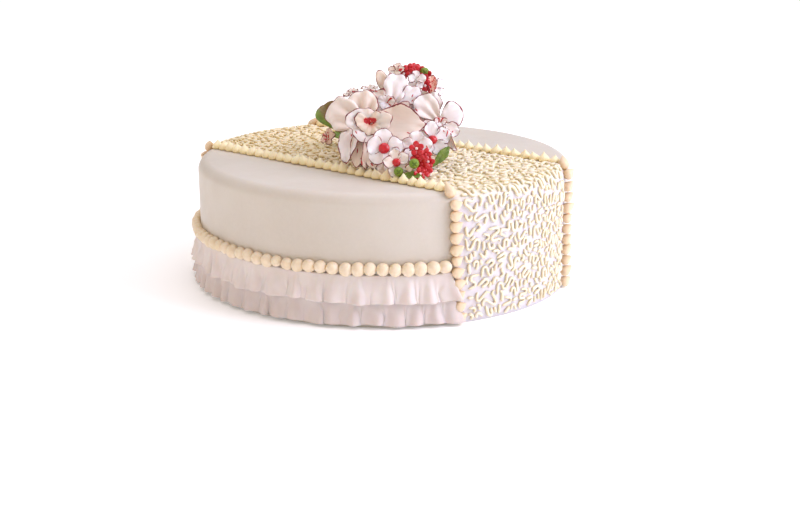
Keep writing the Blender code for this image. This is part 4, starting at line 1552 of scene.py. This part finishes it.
# %% Small petals behind the front flowers
placed = 0
while placed < BEHIND_FRONT:
    y = rng.uniform(-84, -26)
    reach = (y + 84) / 58
    x = 10 - 6 * reach + rng.uniform(-1, 1) * (9 + 19 * reach)
    root = Vector((x, y, rng.uniform(1.5, 4 + 30 * reach)))
    side = math.copysign(1, x - 8)
    lean = Vector((0.6 * side, rng.uniform(-0.3, 0.8), rng.uniform(0.3, 1.1))).normalized()
    length = rng.uniform(8.5, 12.5)
    tip = root + lean * length
    if tip.z > 11 + 31 * reach:  # above the flowers in front of it
        continue
    placed += 1
    facing_way = (rng.uniform(-45, 45) + (0 if side > 0 else 180), rng.uniform(0, 55))
    made = petal(
        length, rng.uniform(4.5, 6.5), cup=0.3, bend=-0.4, ruffle=1.0, waves=4, base=0.4,
        tint=0.2 + 0.7 * rng.random(), seed=placed * 1.7, cells=9, paint=0.6 if y < -70 else 1,
    )
    add_shape(shape, made, between(root, tip, facing_way, -0.4))
print(placed, "small petals")

# %% Four petals where a gap would show
for root, tip, half_width, form in (
    ((33.6, -13, 45), (34, -9, 57.4), 3.6, dict(flush=0.62, tint=0.9)),
    ((26, -19, 39), (28.6, -23, 48.5), 5, dict(tint=0.6)),
    ((33, -20, 38), (35, -24, 46.5), 5, dict(tint=0.8)),
    ((14, -93, 7.5), (19, -97, 10.5), 2.6, dict(tint=0.9)),
):
    length = (Vector(tip) - Vector(root)).length
    made = petal(length, half_width, cup=0.4, ruffle=0.5, base=0.5, seed=length, cells=12, **form)
    add_shape(shape, made, between(root, tip, (-88, 12)))
new_flower(shape, "filling_petals", petal_paste, [], 0.8)

# %% [markdown]
# ## Touches of red paint
# Some petals carry small strokes of a fine brush. Each stroke is laid over the spray as a line of
# points, and a ray from the front finds the petal under each point. Where the petal under it
# changes, the stroke breaks off, as a real one would. Paint stands a little proud of the paste, so
# the strokes are thin piped lines, sunk in until only their backs show.

# %% Where the strokes lie
# Lines of (x, z) in the spray's frame, in mm.
TOUCHES = (
    ((19.5, 51.5), (18.5, 49.5)),
    ((19.5, 48), (18.5, 46.5)),
    ((18, 45.5), (18, 43.5)),
    ((21, 42), (22.5, 40)),
    ((37, 34.5), (36.5, 32.5)),
    ((39, 35), (38, 32.5)),
    ((-19, 27), (-18, 25)),
    ((-22, 25), (-21.5, 23)),
    ((-41, 25), (-38, 23), (-39.5, 19.5)),
    ((-37.5, 26.5), (-37, 23.5), (-37, 20.5)),
    ((-40.5, 21.5), (-38, 21)),
    ((15.5, 26), (17.5, 25)),
    ((25, 27.5), (27.5, 26.5), (29, 24.5)),
    ((43, 27.5), (42, 23)),
    ((40, 27.5), (40.5, 26)),
    ((44.5, 24.5), (46.5, 27)),
    ((28.5, 17), (30, 14)),
    ((-17.5, 15), (-18, 11.5)),
    ((-15.5, 8.5), (-14.5, 3.5)),
    ((-9, 5), (-7, 3)),
    ((-21.5, 53.5), (-18.5, 53)),
    ((-9, 54.5), (-7, 54), (-4, 53)),
)
print(len(TOUCHES), "strokes are laid")

# %% Finding the petal under a stroke
EYE = camera.matrix_world.translation.copy()
BREAK = 1.3 * MM  # a jump this long ends a stroke
STROKE = 0.36  # a stroke's half width, as a share of a piped line's


def petal_under(graph, x, z):
    """The nearest point of the flowers on a line from the front through a place over the spray,
    a tenth of a millimetre in."""
    sight = (SPRAY_MM @ Vector((x, -60, z)) - EYE).normalized()
    found = []
    for flower in flowers:
        met, at, _, _ = flower.ray_cast(EYE, sight, depsgraph=graph)
        if met:
            found.append(((at - EYE).length, at))
    return min(found, key=lambda hit: hit[0])[1] + sight * 0.1 * MM if found else None


print("rays start", round(EYE.length, 3), "m from the cake's foot")

# %% Painting the strokes
bpy.context.view_layer.update()
graph = bpy.context.evaluated_depsgraph_get()
unbroken = []
for touch in TOUCHES:
    run = []
    for (x, z), (far_x, far_z) in zip(touch, touch[1:]):
        steps = max(2, round(math.hypot(far_x - x, far_z - z) / 0.5))
        for step in range(steps + 1):
            share = step / steps
            at = petal_under(graph, x + (far_x - x) * share, z + (far_z - z) * share)
            if at is None or (run and (at - run[-1]).length > BREAK):
                unbroken.append(run)
                run = []
            if at is not None and (not run or (at - run[-1]).length > 0.1 * MM):
                run.append(at)
    unbroken.append(run)
laid = []
for run in unbroken:
    if len(run) < 3:  # too short to show
        continue
    swell = [math.sin(math.pi * index / (len(run) - 1)) ** 0.5 for index in range(len(run))]
    laid.append([(at, STROKE * (0.5 + full * 0.7)) for at, full in zip(run, swell)])
shape = new_icing()
shape.from_mesh(piped_lines("red_touches", laid))
new_piece(shape, "red_touches", red_icing, [])
print(len(laid), "strokes of paint")
